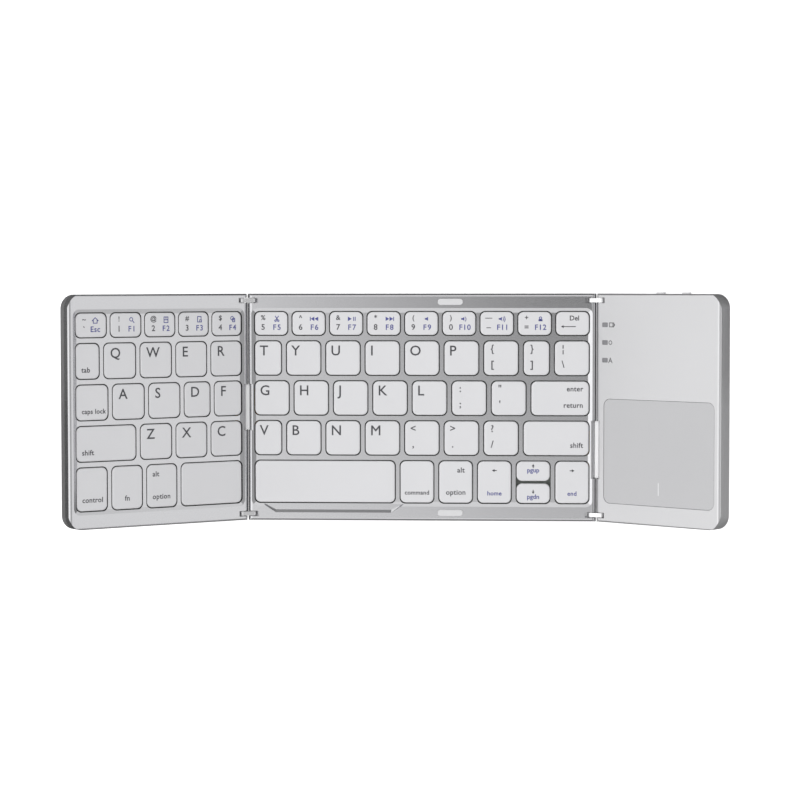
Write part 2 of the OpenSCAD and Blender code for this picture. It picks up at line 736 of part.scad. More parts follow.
module middle_rubber_domes() color([0.85, 0.86, 0.87]) in_middle() domes(middle_keys);
module middle_scissor_links() color([0.93, 0.93, 0.90]) in_middle() scissors(middle_keys);
module middle_stabiliser_wires() in_middle() stabiliser_wires(middle_wide_keys);
module fold_bumpers()
    color([0.90, 0.91, 0.88]) in_middle() bumper_shape(panel_h - bumper_sunk, bumper_sunk + bumper_proud);
module middle_magnets() color([0.35, 0.35, 0.37]) in_middle() magnets(middle_magnets_at);
module middle_feet() color([0.30, 0.30, 0.31]) in_middle() feet(middle_feet_at);
module middle_screws() color([0.45, 0.45, 0.47]) in_middle() screws(middle_screws_at);

module left_top_frame()
    color([0.80, 0.80, 0.82]) in_left() difference() {
        union() {
            intersection() {
                translate([0, 0, seam_z]) linear_extrude(panel_h) side_outline(LEFT, left_w);
                upright_section(-left_w, edge_r, -edge_s, nose_r);
                lengthwise_section();
            }
            screw_posts(left_screws_at);
        }
        frame_cavity(-left_w + 2 * wall_t, -edge_s - hinge_wall);
        field(-left_field_out - field_margin, -left_field_in + 1.2);
        key_holes(left_keys);
        screw_threads(left_screws_at);
        hinge_cuts(-1, left_cover_y, left_cover_len);
    }

module left_back_cover()
    color([0.80, 0.80, 0.82]) in_left() {
        difference() {
            linear_extrude(seam_z) side_outline(LEFT, left_w);
            translate([0, 0, floor_t]) linear_extrude(seam_z) side_outline(LEFT, left_w, wall_t);
            cable_notch(-edge_s, left_cover_y);
            screw_holes(left_screws_at);
            foot_shape(left_feet_at, -eps, eps + foot_sunk, seat);
        }
        floor_pads(left_pads_at);
    }

module left_key_plate()
    color([0.55, 0.56, 0.58]) in_left() plate_edge(left_plate_x[0], left_plate_x[1], plate_z, plate_t);

module left_membrane()
    color([0.75, 0.78, 0.74]) in_left()
        plate_edge(left_plate_x[0], left_plate_x[1], membrane_z, membrane_t);

module left_rubber_domes() color([0.85, 0.86, 0.87]) in_left() domes(left_keys);
module left_scissor_links() color([0.93, 0.93, 0.90]) in_left() scissors(left_keys);
module left_stabiliser_wires() in_left() stabiliser_wires(left_wide_keys);
module left_magnets() color([0.35, 0.35, 0.37]) in_left() magnets(left_magnets_at);
module left_feet() color([0.30, 0.30, 0.31]) in_left() feet(left_feet_at);
module left_screws() color([0.45, 0.45, 0.47]) in_left() screws(left_screws_at);

// ---- Touchpad panel ----

socket_z = main_top;
lens_places = [for (i = [0:lens_count - 1]) [lens_s, lens_y - i * lens_pitch]];
right_pads_at = concat([for (e = [-1, 0, 1]) [board_near + 5, e * (foot_y - 4)]],
    [for (s = [board_far + 9, tail_far - 5]) [s, board_tail_y + 4]]);

// Openings in the rear wall: the socket's mouth, the button and the knob with its travel
module rear_openings() {
    translate([socket_s - socket_w / 2 - seat, inner_rear - eps, socket_z - seat])
        cube([socket_w + 2 * seat, wall_t + 2 * eps, socket_h + 2 * seat]);
    control_opening(button_s - button_w / 2, button_w);
    control_opening(switch_s - knob_w / 2, knob_w + switch_travel);
}

module control_opening(x, w)
    translate([x - control_play, inner_rear - eps, control_z - control_play])
        cube([w + 2 * control_play, wall_t + 2 * eps, control_h + 2 * control_play]);

module right_top_cover() {
    block = 7.5;
    color([0.84, 0.84, 0.86]) in_right() difference() {
        union() {
            intersection() {
                translate([0, 0, seam_z]) linear_extrude(panel_h) side_outline(RIGHT, right_w);
                upright_section(edge_s, nose_r, right_w, edge_r);
                lengthwise_section();
            }
            screw_posts(right_screws_at);
        }
        difference() {
            translate([0, 0, seam_z - eps]) linear_extrude(top_low - seam_z + eps) difference() {
                side_outline(RIGHT, right_w, wall_t);
                translate([0, -half_d]) square([edge_s + hinge_wall, panel_depth]);
            }
            for (e = [-1, 1])
                translate([0, e * (half_d - wall_t - 2) - 3.6, seam_z - 2 * eps])
                    cube([block, 7.2, panel_h]);
            for (p = right_screws_at)
                translate([p[0], p[1], 0]) cylinder(r = post_r, h = panel_h, $fn = 32);
        }
        translate([0, 0, top_low - eps]) linear_extrude(top_t + 2 * eps)
            rounded(pad_s - pad_play, pad_front - pad_play, pad_w + 2 * pad_play, pad_d + 2 * pad_play,
                pad_r + pad_play);
        for (p = lens_places) translate([p[0], p[1], top_low - eps])
            linear_extrude(top_t + 2 * eps) lens_outline(seat);
        screw_threads(right_screws_at);
        rear_openings();
        hinge_cuts(1, right_cover_y, right_cover_len);
    }
}

module lens_outline(grow = 0)
    rounded(-lens_w / 2 - grow, -lens_d / 2 - grow, lens_w + 2 * grow, lens_d + 2 * grow, 0.4 + grow);

module right_back_cover()
    color([0.80, 0.80, 0.82]) in_right() {
        difference() {
            linear_extrude(seam_z) side_outline(RIGHT, right_w);
            translate([0, 0, floor_t]) linear_extrude(seam_z) side_outline(RIGHT, right_w, wall_t);
            cable_notch(edge_s, right_cover_y);
            rear_openings();
            screw_holes(right_screws_at);
            foot_shape(right_feet_at, -eps, eps + foot_sunk, seat);
        }
        floor_pads(right_pads_at);
    }

module touchpad()
    color([0.74, 0.74, 0.76]) in_right()
        translate([0, 0, pad_low]) linear_extrude(pad_t) rounded(pad_s, pad_front, pad_w, pad_d, pad_r);

module touchpad_board() {
    lap = 0.9;
    color([0.10, 0.35, 0.20]) in_right() {
        translate([pad_s - lap, pad_front - lap, pad_board_z])
            cube([pad_w + 2 * lap, pad_d + 2 * lap, board_t]);
        translate([pad_s + 9, pad_front + 20, pad_board_z - 0.9]) cube([6, 6, 0.9]);
    }
}

// Flat ribbon that stands between the touchpad's board and the main board
module touchpad_ribbon()
    color([0.85, 0.60, 0.25]) in_right()
        translate([board_far - 3, pad_front + pad_d - ribbon_w, main_top])
            cube([flex_t, ribbon_w, pad_board_z - main_top]);

module main_board()
    color([0.08, 0.30, 0.45]) in_right() {
        difference() {
            union() {
                translate([board_near, -foot_y, main_z])
                    cube([board_far - board_near, foot_y + board_long_y, board_t]);
                translate([screw_near_s + 3, board_tail_y, main_z])
                    cube([tail_far - screw_near_s - 3, board_rear - board_tail_y, board_t]);
            }
            for (p = right_screws_at) translate([p[0], p[1], main_z - eps])
                cylinder(r = post_r + 0.3, h = board_t + 2 * eps, $fn = 32);
            translate([right_magnet_s - magnet_l / 2 - 0.3, magnet_y - magnet_w / 2 - 0.3, main_z - eps])
                cube([magnet_l + 0.6, magnet_w, board_t + 2 * eps]);
        }
        // Connector of the flat cable, processor, charger and the indicator lamps
        translate([flex_in + edge_s, right_cover_y - flex_w / 2 - 1, main_top]) cube([3, flex_w + 2, 1]);
        translate([6, 4, main_top]) cube([8, 8, 0.9]);
        translate([board_far - 4, battery_lead_y - 2, main_top]) cube([3.5, 3.5, 0.8]);
        for (p = lens_places) translate([p[0] - 0.8, p[1] - 0.6, main_top]) cube([1.6, 1.2, 0.6]);
    }

module indicator_lenses()
    color([0.55, 0.55, 0.58]) in_right() for (p = lens_places) translate([p[0], p[1], 0]) {
        translate([0, 0, top_low]) linear_extrude(top_t - 0.05) lens_outline();
        translate([-0.7, -0.6, main_top + 0.6]) cube([1.4, 1.2, top_low - main_top - 0.6]);
    }

module battery()
    color([0.70, 0.72, 0.74]) in_right() {
        translate([0, 0, floor_t]) linear_extrude(battery_t)
            rounded(battery_s, battery_y - battery_d / 2, battery_w, battery_d, 1.5);
        for (y = [battery_lead_y - 0.7, battery_lead_y + 0.7]) translate([board_far, y, main_top - 0.4])
            rotate([0, 90, 0]) cylinder(r = 0.35, h = battery_s - board_far, $fn = 16);
    }

module charging_socket()
    color([0.68, 0.69, 0.70]) in_right() difference() {
        translate([socket_s - socket_w / 2, half_d - socket_d, socket_z])
            cube([socket_w, socket_d - 0.1, socket_h]);
        translate([socket_s - socket_w / 2 + 0.4, half_d - socket_d + 0.5, socket_z + 0.4])
            cube([socket_w - 0.8, socket_d, socket_h - 0.8]);
        translate([socket_s - socket_w / 2 - eps, half_d - socket_d - eps, socket_z - eps])
            cube([eps + seat, socket_d, eps + seat]);
    }

// Slide switch: a metal body with a slot at the rear in which the knob's foot runs
module power_switch_body() {
    front = board_rear - 4.2;
    color([0.60, 0.61, 0.62]) in_right() difference() {
        translate([switch_x, front, main_top]) cube([switch_body_w, 3.2, 3]);
        translate([switch_x + switch_side_t - control_play, front + 1.2, control_z + 0.6 - control_play])
            cube([knob_w + switch_travel + 2 * control_play, 3, 1 + 2 * control_play]);
    }
}

module power_switch_knob()
    color([0.78, 0.78, 0.80]) in_right() {
        front = board_rear - 4.2;
        translate([switch_s - knob_w / 2, board_rear - 0.9, control_z])
            cube([knob_w, half_d + control_reach - board_rear + 0.9, control_h]);
        translate([switch_s - knob_w / 2, front + 1.4, control_z + 0.6]) cube([knob_w, 3, 1]);
    }

module pairing_button()
    color([0.78, 0.78, 0.80]) in_right() {
        rear_play = button_travel + 0.1;
        translate([button_s - button_w / 2, inner_rear - 1.6, control_z])
            cube([button_w, half_d + control_reach - inner_rear + 1.6, control_h]);
        translate([button_s - button_w / 2 - 0.6, inner_rear - 1.6, control_z])
            cube([button_w + 1.2, 1.6 - rear_play / 2, control_h]);
    }

module right_magnets() color([0.35, 0.35, 0.37]) in_right() magnets(right_magnets_at);
module right_feet() color([0.30, 0.30, 0.31]) in_right() feet(right_feet_at);
module right_screws() color([0.45, 0.45, 0.47]) in_right() screws(right_screws_at);

// ---- Hinges ----

module hinge_links(side, fold)
    color([0.78, 0.78, 0.80]) in_link(side, fold) {
        for (e = [-1, 1]) translate([0, e * link_y, 0]) rotate([90, 0, 0])
            linear_extrude(link_t, center = true) difference() {
                union() {
                    circle(link_r);
                    translate([side * 2 * pin_a, 0]) circle(link_r);
                    translate([side > 0 ? 0 : -2 * pin_a, -link_r]) square([2 * pin_a, 2 * link_r]);
                }
                for (x = [0, side * 2 * pin_a]) translate([x, 0]) circle(pin_r + seat);
            }
        translate([side * pin_a - spine_t / 2, -link_y, -link_r]) cube([spine_t, 2 * link_y, spine_h]);
    }

module hinge_pins(side, fold)
    color([0.60, 0.60, 0.62]) in_link(side, fold)
        for (e = [-1, 1], x = [0, side * 2 * pin_a])
            translate([x, e * link_y, 0]) rotate([90, 0, 0])
                cylinder(r = pin_r, h = pin_len, center = true);

module cable_cover(side, fold, y, length)
    color([0.86, 0.86, 0.88]) in_link(side, fold)
        translate([side * pin_a, y, 0]) rotate([90, 0, 0])
            linear_extrude(length, center = true) difference() {
                rounded(-cover_w / 2, -cover_drop - cover_h, cover_w, cover_h, 0.45);
                translate([-spine_t / 2 - seat, -cover_drop - cover_h - eps])
                    square([spine_t + 2 * seat, cover_h + cover_drop - link_r + spine_h + eps]);
            }

// A point of a side panel, [s, z], in the middle panel's frame, drawn for the right side
function turned(v, angle) = [v[0] * cos(angle) - v[1] * sin(angle), v[0] * sin(angle) + v[1] * cos(angle)];
function side_point(s, z, fold) =
    [hinge_x - pin_a, pin_z]
        + turned([2 * pin_a, 0] + turned([s - pin_a, z - pin_z], fold / 2), fold / 2);

// Flat cable: straight inside both panels, and one straight reach across the open gap
module flat_cable(side, fold, y) {
    mid_z = flex_z + flex_t / 2;
    path = [
        [hinge_x - edge_s - flex_in, mid_z],
        [hinge_x - edge_s, mid_z],
        side_point(edge_s, mid_z, fold),
        side_point(edge_s + flex_in, mid_z, fold)
    ];
    // Directions of the half thickness: square to the ends, mitred at the two bends
    half = flex_t / 2;
    mitre = half / cos(fold / 4);
    normals = [turned([0, half], 0), turned([0, mitre], fold / 4),
        turned([0, mitre], fold * 3 / 4), turned([0, half], fold)];
    color([0.85, 0.60, 0.25]) in_middle() translate([0, y, 0]) rotate([90, 0, 0])
        linear_extrude(flex_w, center = true) mirror([side > 0 ? 0 : 1, 0])
            polygon(concat([for (i = [0:3]) path[i] + normals[i]],
                [for (i = [3:-1:0]) path[i] - normals[i]]));
}

module left_hinge_links() hinge_links(LEFT, left_fold);
module left_hinge_pins() hinge_pins(LEFT, left_fold);
module left_cable_cover() cable_cover(LEFT, left_fold, left_cover_y, left_cover_len);
module left_flat_cable() flat_cable(LEFT, left_fold, left_cover_y);
module right_hinge_links() hinge_links(RIGHT, right_fold);
module right_hinge_pins() hinge_pins(RIGHT, right_fold);
module right_cable_cover() cable_cover(RIGHT, right_fold, right_cover_y, right_cover_len);
module right_flat_cable() flat_cable(RIGHT, right_fold, right_cover_y);

// ---- Key groups ----

module left_key_row_1() in_left() key_caps(left_rows[0]);
module left_key_row_2() in_left() key_caps(left_rows[1]);
module left_key_row_3() in_left() key_caps(left_rows[2]);
module left_key_row_4() in_left() key_caps(left_rows[3]);
module left_key_row_5() in_left() key_caps(pick(left_rows[4], 0, 2));
module left_space_key() in_left() key_caps([left_rows[4][3]]);
module middle_key_row_1() in_middle() key_caps(middle_rows[0]);
module middle_key_row_2() in_middle() key_caps(middle_rows[1]);
module middle_key_row_3() in_middle() key_caps(pick(middle_rows[2], 0, 6));
module middle_key_row_4() in_middle() key_caps(pick(middle_rows[3], 0, 6));
module middle_key_row_5() in_middle() key_caps(space_row_keys);
module space_bar() in_middle() key_caps([middle_rows[4][0]]);
module enter_key() in_middle() key_caps([middle_rows[2][7]]);
module right_shift_key() in_middle() key_caps([middle_rows[3][7]]);
module up_arrow_key() in_middle() key_caps([up_arrow]);
module down_arrow_key() in_middle() key_caps([down_arrow]);

middle_back_cover();
middle_top_frame();
middle_key_plate();
middle_membrane();
middle_rubber_domes();
middle_scissor_links();
middle_stabiliser_wires();
fold_bumpers();
middle_magnets();
middle_feet();
middle_screws();
left_back_cover();
left_top_frame();
left_key_plate();
left_membrane();
left_rubber_domes();
left_scissor_links();
left_stabiliser_wires();
left_magnets();
left_feet();
left_screws();
right_back_cover();
right_top_cover();
touchpad();
touchpad_board();
main_board();
touchpad_ribbon();
battery();
charging_socket();
power_switch_body();
power_switch_knob();
pairing_button();
indicator_lenses();
right_magnets();
right_feet();
right_screws();
left_hinge_links();
left_hinge_pins();
left_cable_cover();
left_flat_cable();
right_hinge_links();
right_hinge_pins();
right_cable_cover();
right_flat_cable();
left_key_row_1();
left_key_row_2();
left_key_row_3();
left_key_row_4();
left_key_row_5();
left_space_key();
middle_key_row_1();
middle_key_row_2();
middle_key_row_3();
middle_key_row_4();
middle_key_row_5();
space_bar();
enter_key();
right_shift_key();
up_arrow_key();
down_arrow_key();
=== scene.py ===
# Folding keyboard with a touchpad panel: the finish of every piece, laid over the CAD frame.
# Lengths are in metres. The middle panel lies flat and the two side panels stand part way up.

import json
import math

import bpy
from mathutils import Matrix, Vector


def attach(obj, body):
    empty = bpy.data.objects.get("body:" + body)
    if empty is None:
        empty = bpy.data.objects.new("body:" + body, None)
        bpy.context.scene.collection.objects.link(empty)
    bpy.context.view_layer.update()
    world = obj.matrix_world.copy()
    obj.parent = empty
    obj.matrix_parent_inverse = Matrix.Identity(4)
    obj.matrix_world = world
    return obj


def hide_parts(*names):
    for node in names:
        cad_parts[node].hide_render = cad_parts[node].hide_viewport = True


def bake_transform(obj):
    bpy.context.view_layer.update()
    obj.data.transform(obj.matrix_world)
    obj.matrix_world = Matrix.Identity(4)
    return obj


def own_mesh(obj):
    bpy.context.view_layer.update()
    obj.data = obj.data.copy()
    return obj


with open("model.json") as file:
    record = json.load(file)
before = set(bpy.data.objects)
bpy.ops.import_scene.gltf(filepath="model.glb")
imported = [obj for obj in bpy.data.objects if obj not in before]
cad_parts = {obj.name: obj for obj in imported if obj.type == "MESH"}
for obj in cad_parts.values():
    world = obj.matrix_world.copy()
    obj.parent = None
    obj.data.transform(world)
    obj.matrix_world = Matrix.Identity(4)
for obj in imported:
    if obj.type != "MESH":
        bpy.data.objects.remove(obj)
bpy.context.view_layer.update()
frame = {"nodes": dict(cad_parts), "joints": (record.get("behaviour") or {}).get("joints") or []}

# ---- The table, the room and the camera ----
# A white studio table under two soft lamps, in a white tent with a dark opening for the camera,
# a bright wall on the left and dark flags on the right and at both ends. Cards lie round the
# object, a pale one on the right and dark ones elsewhere, for its silver edges to mirror.

MM = 0.001
camera_place = (0.0561, 0.0564, 1.1009)
camera_turn = (-2.782, 3.422, -0.049)
lens_mm = 113.17
sensor_mm = 36

camera_data = bpy.data.cameras.new("camera")
camera_data.lens = lens_mm
camera_data.sensor_width = sensor_mm
camera_data.clip_start = 0.01
camera = bpy.data.objects.new("camera", camera_data)
camera.location = camera_place
camera.rotation_euler = [math.radians(a) for a in camera_turn]
bpy.context.scene.collection.objects.link(camera)
bpy.context.scene.camera = camera
bpy.context.scene.view_settings.view_transform = "Standard"

table_size = 6
table_colour = (0.90, 0.90, 0.905, 1)
table_glow = 0.5
table_glow_mirrored = 0.12
bpy.ops.object.select_all(action="DESELECT")
bpy.ops.mesh.primitive_plane_add(size=table_size, location=(0, 0, 0))
table = bpy.context.object
table.name = "table"
table_paint = bpy.data.materials.new("table_paint")
table_paint.use_nodes = True
tree = table_paint.node_tree
shader = tree.nodes["Principled BSDF"]
shader.inputs["Base Color"].default_value = table_colour
shader.inputs["Roughness"].default_value = 0.8
shader.inputs["Specular IOR Level"].default_value = 0.1
seen = tree.nodes.new("ShaderNodeLightPath")
mirrored = tree.nodes.new("ShaderNodeMath")
mirrored.operation = "MULTIPLY"
mirrored.inputs[1].default_value = table_glow_mirrored
tree.links.new(seen.outputs["Is Glossy Ray"], mirrored.inputs[0])
lift = tree.nodes.new("ShaderNodeMath")
lift.operation = "MULTIPLY_ADD"
lift.inputs[1].default_value = table_glow
tree.links.new(seen.outputs["Is Camera Ray"], lift.inputs[0])
tree.links.new(mirrored.outputs[0], lift.inputs[2])
tree.links.new(lift.outputs[0], shader.inputs["Emission Strength"])
shader.inputs["Emission Color"].default_value = (1, 1, 1, 1)
table.data.materials.append(table_paint)

opening_place = (0.035, 0.03, 0)
opening_inner = 0.01
opening_outer = 0.20
opening_grey = 0.02
end_starts = 0.72
end_full = 0.92
end_bright = 1.65
end_grey = 0.35
tent = bpy.data.worlds.new("tent")
bpy.context.scene.world = tent
tent.use_nodes = True
tree = tent.node_tree
backdrop = tree.nodes["Background"]
backdrop.inputs["Color"].default_value = (1, 1, 1, 1)
toward = tree.nodes.new("ShaderNodeTexCoord")
flat = tree.nodes.new("ShaderNodeVectorMath")
flat.operation = "MULTIPLY"
flat.inputs[1].default_value = (1, 1, 0)
tree.links.new(toward.outputs["Generated"], flat.inputs[0])
off_centre = tree.nodes.new("ShaderNodeVectorMath")
off_centre.operation = "DISTANCE"
off_centre.inputs[1].default_value = opening_place
tree.links.new(flat.outputs[0], off_centre.inputs[0])
camera_shade = tree.nodes.new("ShaderNodeMapRange")
camera_shade.interpolation_type = "SMOOTHSTEP"
camera_shade.inputs["From Min"].default_value = opening_inner
camera_shade.inputs["From Max"].default_value = opening_outer
camera_shade.inputs["To Min"].default_value = opening_grey
camera_shade.inputs["To Max"].default_value = 1.0
tree.links.new(off_centre.outputs["Value"], camera_shade.inputs["Value"])
split = tree.nodes.new("ShaderNodeSeparateXYZ")
tree.links.new(toward.outputs["Generated"], split.inputs[0])
half_turn = tree.nodes.new("ShaderNodeMapRange")
half_turn.inputs["From Min"].default_value = -1
half_turn.inputs["From Max"].default_value = 1
tree.links.new(split.outputs["X"], half_turn.inputs["Value"])
sideways = tree.nodes.new("ShaderNodeValToRGB")
SIDE_GREYS = (
    (0.00, 0.70),
    (0.07, 0.70),
    (0.15, 0.95),
    (0.26, 0.95),
    (0.36, 0.67),
    (0.60, 0.60),
    (0.70, 0.26),
    (0.84, 0.26),
    (0.91, 0.64),
    (1.00, 0.64),
)
while len(sideways.color_ramp.elements) < len(SIDE_GREYS):
    sideways.color_ramp.elements.new(0.5)
for element, (place, grey) in zip(sideways.color_ramp.elements, SIDE_GREYS):
    element.position = place
    element.color = (grey, grey, grey, 1)
tree.links.new(half_turn.outputs[0], sideways.inputs["Fac"])
along = tree.nodes.new("ShaderNodeMath")
along.operation = "ABSOLUTE"
tree.links.new(split.outputs["Y"], along.inputs[0])
end_shade = tree.nodes.new("ShaderNodeMapRange")
end_shade.interpolation_type = "SMOOTHSTEP"
end_shade.inputs["From Min"].default_value = end_starts
end_shade.inputs["From Max"].default_value = end_full
end_shade.inputs["To Min"].default_value = end_bright
end_shade.inputs["To Max"].default_value = end_grey
tree.links.new(along.outputs[0], end_shade.inputs["Value"])
walls = tree.nodes.new("ShaderNodeMath")
walls.operation = "MULTIPLY"
tree.links.new(sideways.outputs["Color"], walls.inputs[0])
tree.links.new(end_shade.outputs[0], walls.inputs[1])
strength = tree.nodes.new("ShaderNodeMath")
strength.operation = "MULTIPLY"
tree.links.new(camera_shade.outputs[0], strength.inputs[0])
tree.links.new(walls.outputs[0], strength.inputs[1])
seen = tree.nodes.new("ShaderNodeLightPath")
white_behind = tree.nodes.new("ShaderNodeMath")
white_behind.operation = "MAXIMUM"
tree.links.new(strength.outputs[0], white_behind.inputs[0])
tree.links.new(seen.outputs["Is Camera Ray"], white_behind.inputs[1])
tree.links.new(white_behind.outputs[0], backdrop.inputs["Strength"])


def soft_lamp(name, place, aim, size, watts):
    """A square lamp that lights the object from one side and shows in no reflection."""
    lamp_data = bpy.data.lights.new(name, "AREA")
    lamp_data.size = size
    lamp_data.energy = watts
    lamp = bpy.data.objects.new(name, lamp_data)
    lamp.location = place
    lamp.rotation_euler = (Vector(aim) - Vector(place)).to_track_quat("-Z", "Y").to_euler()
    lamp.visible_glossy = False
    bpy.context.scene.collection.objects.link(lamp)


soft_lamp("left_lamp", (-0.9, -0.3, 1.2), (0, 0, 0), 0.6, 3.5)
soft_lamp("right_lamp", (0.9, 0.4, 1.3), (0, 0, 0), 0.8, 5.5)


card_lift = 2 * MM


def mirrored_card(name, x, y, width, depth, grey):
    """A card flat on the table that only reflections show."""
    bpy.ops.object.select_all(action="DESELECT")
    bpy.ops.mesh.primitive_plane_add(size=1, location=(x, y, card_lift), scale=(width, depth, 1))
    card = bpy.context.object
    bpy.ops.object.transform_apply(location=True, rotation=True, scale=True)
    card.name = name
    card_paint = bpy.data.materials.new(name + "_paint")
    card_paint.use_nodes = True
    card_shader = card_paint.node_tree.nodes["Principled BSDF"]
    card_shader.inputs["Base Color"].default_value = (grey, grey, grey, 1)
    card_shader.inputs["Roughness"].default_value = 1
    card.data.materials.append(card_paint)
    card.visible_camera = False
    card.visible_diffuse = False
    card.visible_shadow = False


mirrored_card("left_card", -0.62, 0.2, 0.8, 1.6, 0.06)
mirrored_card("right_card", 0.62, 0.0, 0.8, 1.6, 0.95)
mirrored_card("rear_card", 0.0, 0.5, 0.42, 0.8, 0.10)
mirrored_card("front_card", 0.0, -0.5, 0.42, 0.8, 0.20)

# ---- Back covers ----
# Three shallow trays of moulded plastic with a fine satin silver paint, one under each panel.
# Each is screwed to the frame over it, and its rear and outer walls show below the seam.

nodes = frame["nodes"]
shine_spread = 0.04


def finish(name, colour, drift_to, patch, roughness, metal=0.0, grain=0.0004, relief=0.05):
    """A surface whose colour drifts between two tones over patches, with a fine grain of bumps."""
    material = bpy.data.materials.new(name)
    material.use_nodes = True
    tree = material.node_tree
    shader = tree.nodes["Principled BSDF"]
    shader.inputs["Metallic"].default_value = metal
    place = tree.nodes.new("ShaderNodeTexCoord")
    drift = tree.nodes.new("ShaderNodeTexNoise")
    drift.inputs["Scale"].default_value = 1 / patch
    drift.inputs["Detail"].default_value = 3
    tree.links.new(place.outputs["Object"], drift.inputs["Vector"])
    tones = tree.nodes.new("ShaderNodeMix")
    tones.data_type = "RGBA"
    tones.inputs["A"].default_value = (*colour, 1)
    tones.inputs["B"].default_value = (*drift_to, 1)
    tree.links.new(drift.outputs["Fac"], tones.inputs["Factor"])
    tree.links.new(tones.outputs["Result"], shader.inputs["Base Color"])
    speckle = tree.nodes.new("ShaderNodeTexNoise")
    speckle.inputs["Scale"].default_value = 1 / grain
    speckle.inputs["Detail"].default_value = 2
    tree.links.new(place.outputs["Object"], speckle.inputs["Vector"])
    shine = tree.nodes.new("ShaderNodeMapRange")
    shine.inputs["To Min"].default_value = roughness - shine_spread
    shine.inputs["To Max"].default_value = roughness + shine_spread
    tree.links.new(speckle.outputs["Fac"], shine.inputs["Value"])
    tree.links.new(shine.outputs["Result"], shader.inputs["Roughness"])
    bumps = tree.nodes.new("ShaderNodeBump")
    bumps.inputs["Strength"].default_value = relief
    bumps.inputs["Distance"].default_value = grain / 4
    tree.links.new(speckle.outputs["Fac"], bumps.inputs["Height"])
    tree.links.new(bumps.outputs["Normal"], shader.inputs["Normal"])
    return material


def dress(node, material):
    """A CAD node keeps its shape and gets one finish all over."""
    mesh = nodes[node].data
    mesh.materials.clear()
    mesh.materials.append(material)


silver_paint = finish("silver_paint", (0.63, 0.63, 0.64), (0.67, 0.67, 0.68), 0.03, 0.30, metal=0.92)
for node in ("middle_back_cover", "left_back_cover", "right_back_cover"):
    dress(node, silver_paint)

# ---- Top frames ----
# One plastic moulding a panel: rims, the sunken key field and the web between the keys. Its
# silver paint is smoother than the back covers' and a shade darker, and mirrors the room softly.

frame_paint = finish("frame_paint", (0.58, 0.58, 0.595), (0.60, 0.60, 0.615), 0.04, 0.16, metal=0.95)
for node in ("middle_top_frame", "left_top_frame"):
    dress(node, frame_paint)

# ---- Cover of the touchpad panel ----
# A smooth plastic moulding in silver paint, screwed on from below, with a window for the
# touchpad and three for lamps.

cover_paint = finish("cover_paint", (0.60, 0.60, 0.61), (0.63, 0.63, 0.64), 0.05, 0.30, metal=0.85)
dress("right_top_cover", cover_paint)

# ---- Key caps ----
# Pale grey caps with rounded corners and edges, hollow underneath and a hair's breadth dished on
# top. Their side walls and insides are painted near black, as painted shade for the deep gaps
# round the keys; the arrow keys keep the pale grey there. Each clips on its scissor links and
# stands a little above the web. A row is one piece, as in the frame, and the wide keys are
# pieces of their own.

KEY_GROUPS = {
    "left_key_row_1": "left",
    "left_key_row_2": "left",
    "left_key_row_3": "left",
    "left_key_row_4": "left",
    "left_key_row_5": "left",
    "left_space_key": "left",
    "middle_key_row_1": "middle",
    "middle_key_row_2": "middle",
    "middle_key_row_3": "middle",
    "middle_key_row_4": "middle",
    "middle_key_row_5": "middle",
    "space_bar": "middle",
    "enter_key": "middle",
    "right_shift_key": "middle",
    "up_arrow_key": "middle",
    "down_arrow_key": "middle",
}
cap_corner = 2.3 * MM
cap_corner_cuts = 6
cap_edge = 0.45 * MM
cap_edge_cuts = 3
cap_wall = 0.8 * MM
cap_hollow = 1.4 * MM
dish_in = 1.0 * MM
dish_depth = 0.06 * MM
cap_apart = 0.1 * MM
hair = 0.01 * MM
facing = 0.99
upright = 0.1


def joint_named(name):
    """The frame's joint of that name."""
    return next(j for j in frame["joints"] if j["name"] == name)


def raised(side):
    """Turns a side panel drawn flat beside the middle one up to where it stands."""
    pin_in = Vector(joint_named(side + "_hinge_inner")["pos_m"])
    pin_out = Vector(joint_named(side + "_hinge_outer")["pos_m"])
    rise = -2 * math.radians(joint_named(side + "_hinge_inner")["range_deg"][0])
    way = -1 if side == "left" else 1
    flat_pin = pin_in + Vector((way * (pin_out - pin_in).length, 0, 0))
    turn = Matrix.Rotation(-way * rise, 4, "Y")
    return Matrix.Translation(pin_out) @ turn @ Matrix.Translation(-flat_pin)


STAND = {"left": raised("left"), "right": raised("right"), "middle": Matrix.Identity(4)}


def flat_corners(node, panel):
    """A CAD node's vertices with its panel laid flat."""
    lay = STAND[panel].inverted()
    return [lay @ v.co for v in nodes[node].data.vertices]


def keys_in(node, panel):
    """The outlines (x0, y0, x1, y1) of a group's caps from left to right, and their two heights."""
    corners = flat_corners(node, panel)
    spans = []
    for face in nodes[node].data.polygons:
        across = [corners[i].x for i in face.vertices]
        spans.append((min(across), max(across)))
    merged = []
    for low, high in sorted(spans):
        if merged and low <= merged[-1][1] + cap_apart:
            merged[-1][1] = max(merged[-1][1], high)
        else:
            merged.append([low, high])
    front = min(c.y for c in corners)
    rear = max(c.y for c in corners)
    heights = (min(c.z for c in corners), max(c.z for c in corners))
    return [(low, front, high, rear) for low, high in merged], heights


def pick_edges(piece, wanted):
    """Goes to edit mode with only those edges selected whose two ends pass the test."""
    bpy.ops.object.mode_set(mode="EDIT")
    bpy.ops.mesh.select_mode(type="EDGE")
    bpy.ops.mesh.select_all(action="DESELECT")
    bpy.ops.object.mode_set(mode="OBJECT")
    for edge in piece.data.edges:
        a, b = (piece.data.vertices[i].co for i in edge.vertices)
        edge.select = wanted(a, b)
    bpy.ops.object.mode_set(mode="EDIT")


def pick_faces(piece, wanted):
    """Goes to edit mode with only those faces selected that pass the test."""
    bpy.ops.object.mode_set(mode="EDIT")
    bpy.ops.mesh.select_mode(type="FACE")
    bpy.ops.mesh.select_all(action="DESELECT")
    bpy.ops.object.mode_set(mode="OBJECT")
    for face in piece.data.polygons:
        face.select = wanted(face)
    bpy.ops.object.mode_set(mode="EDIT")


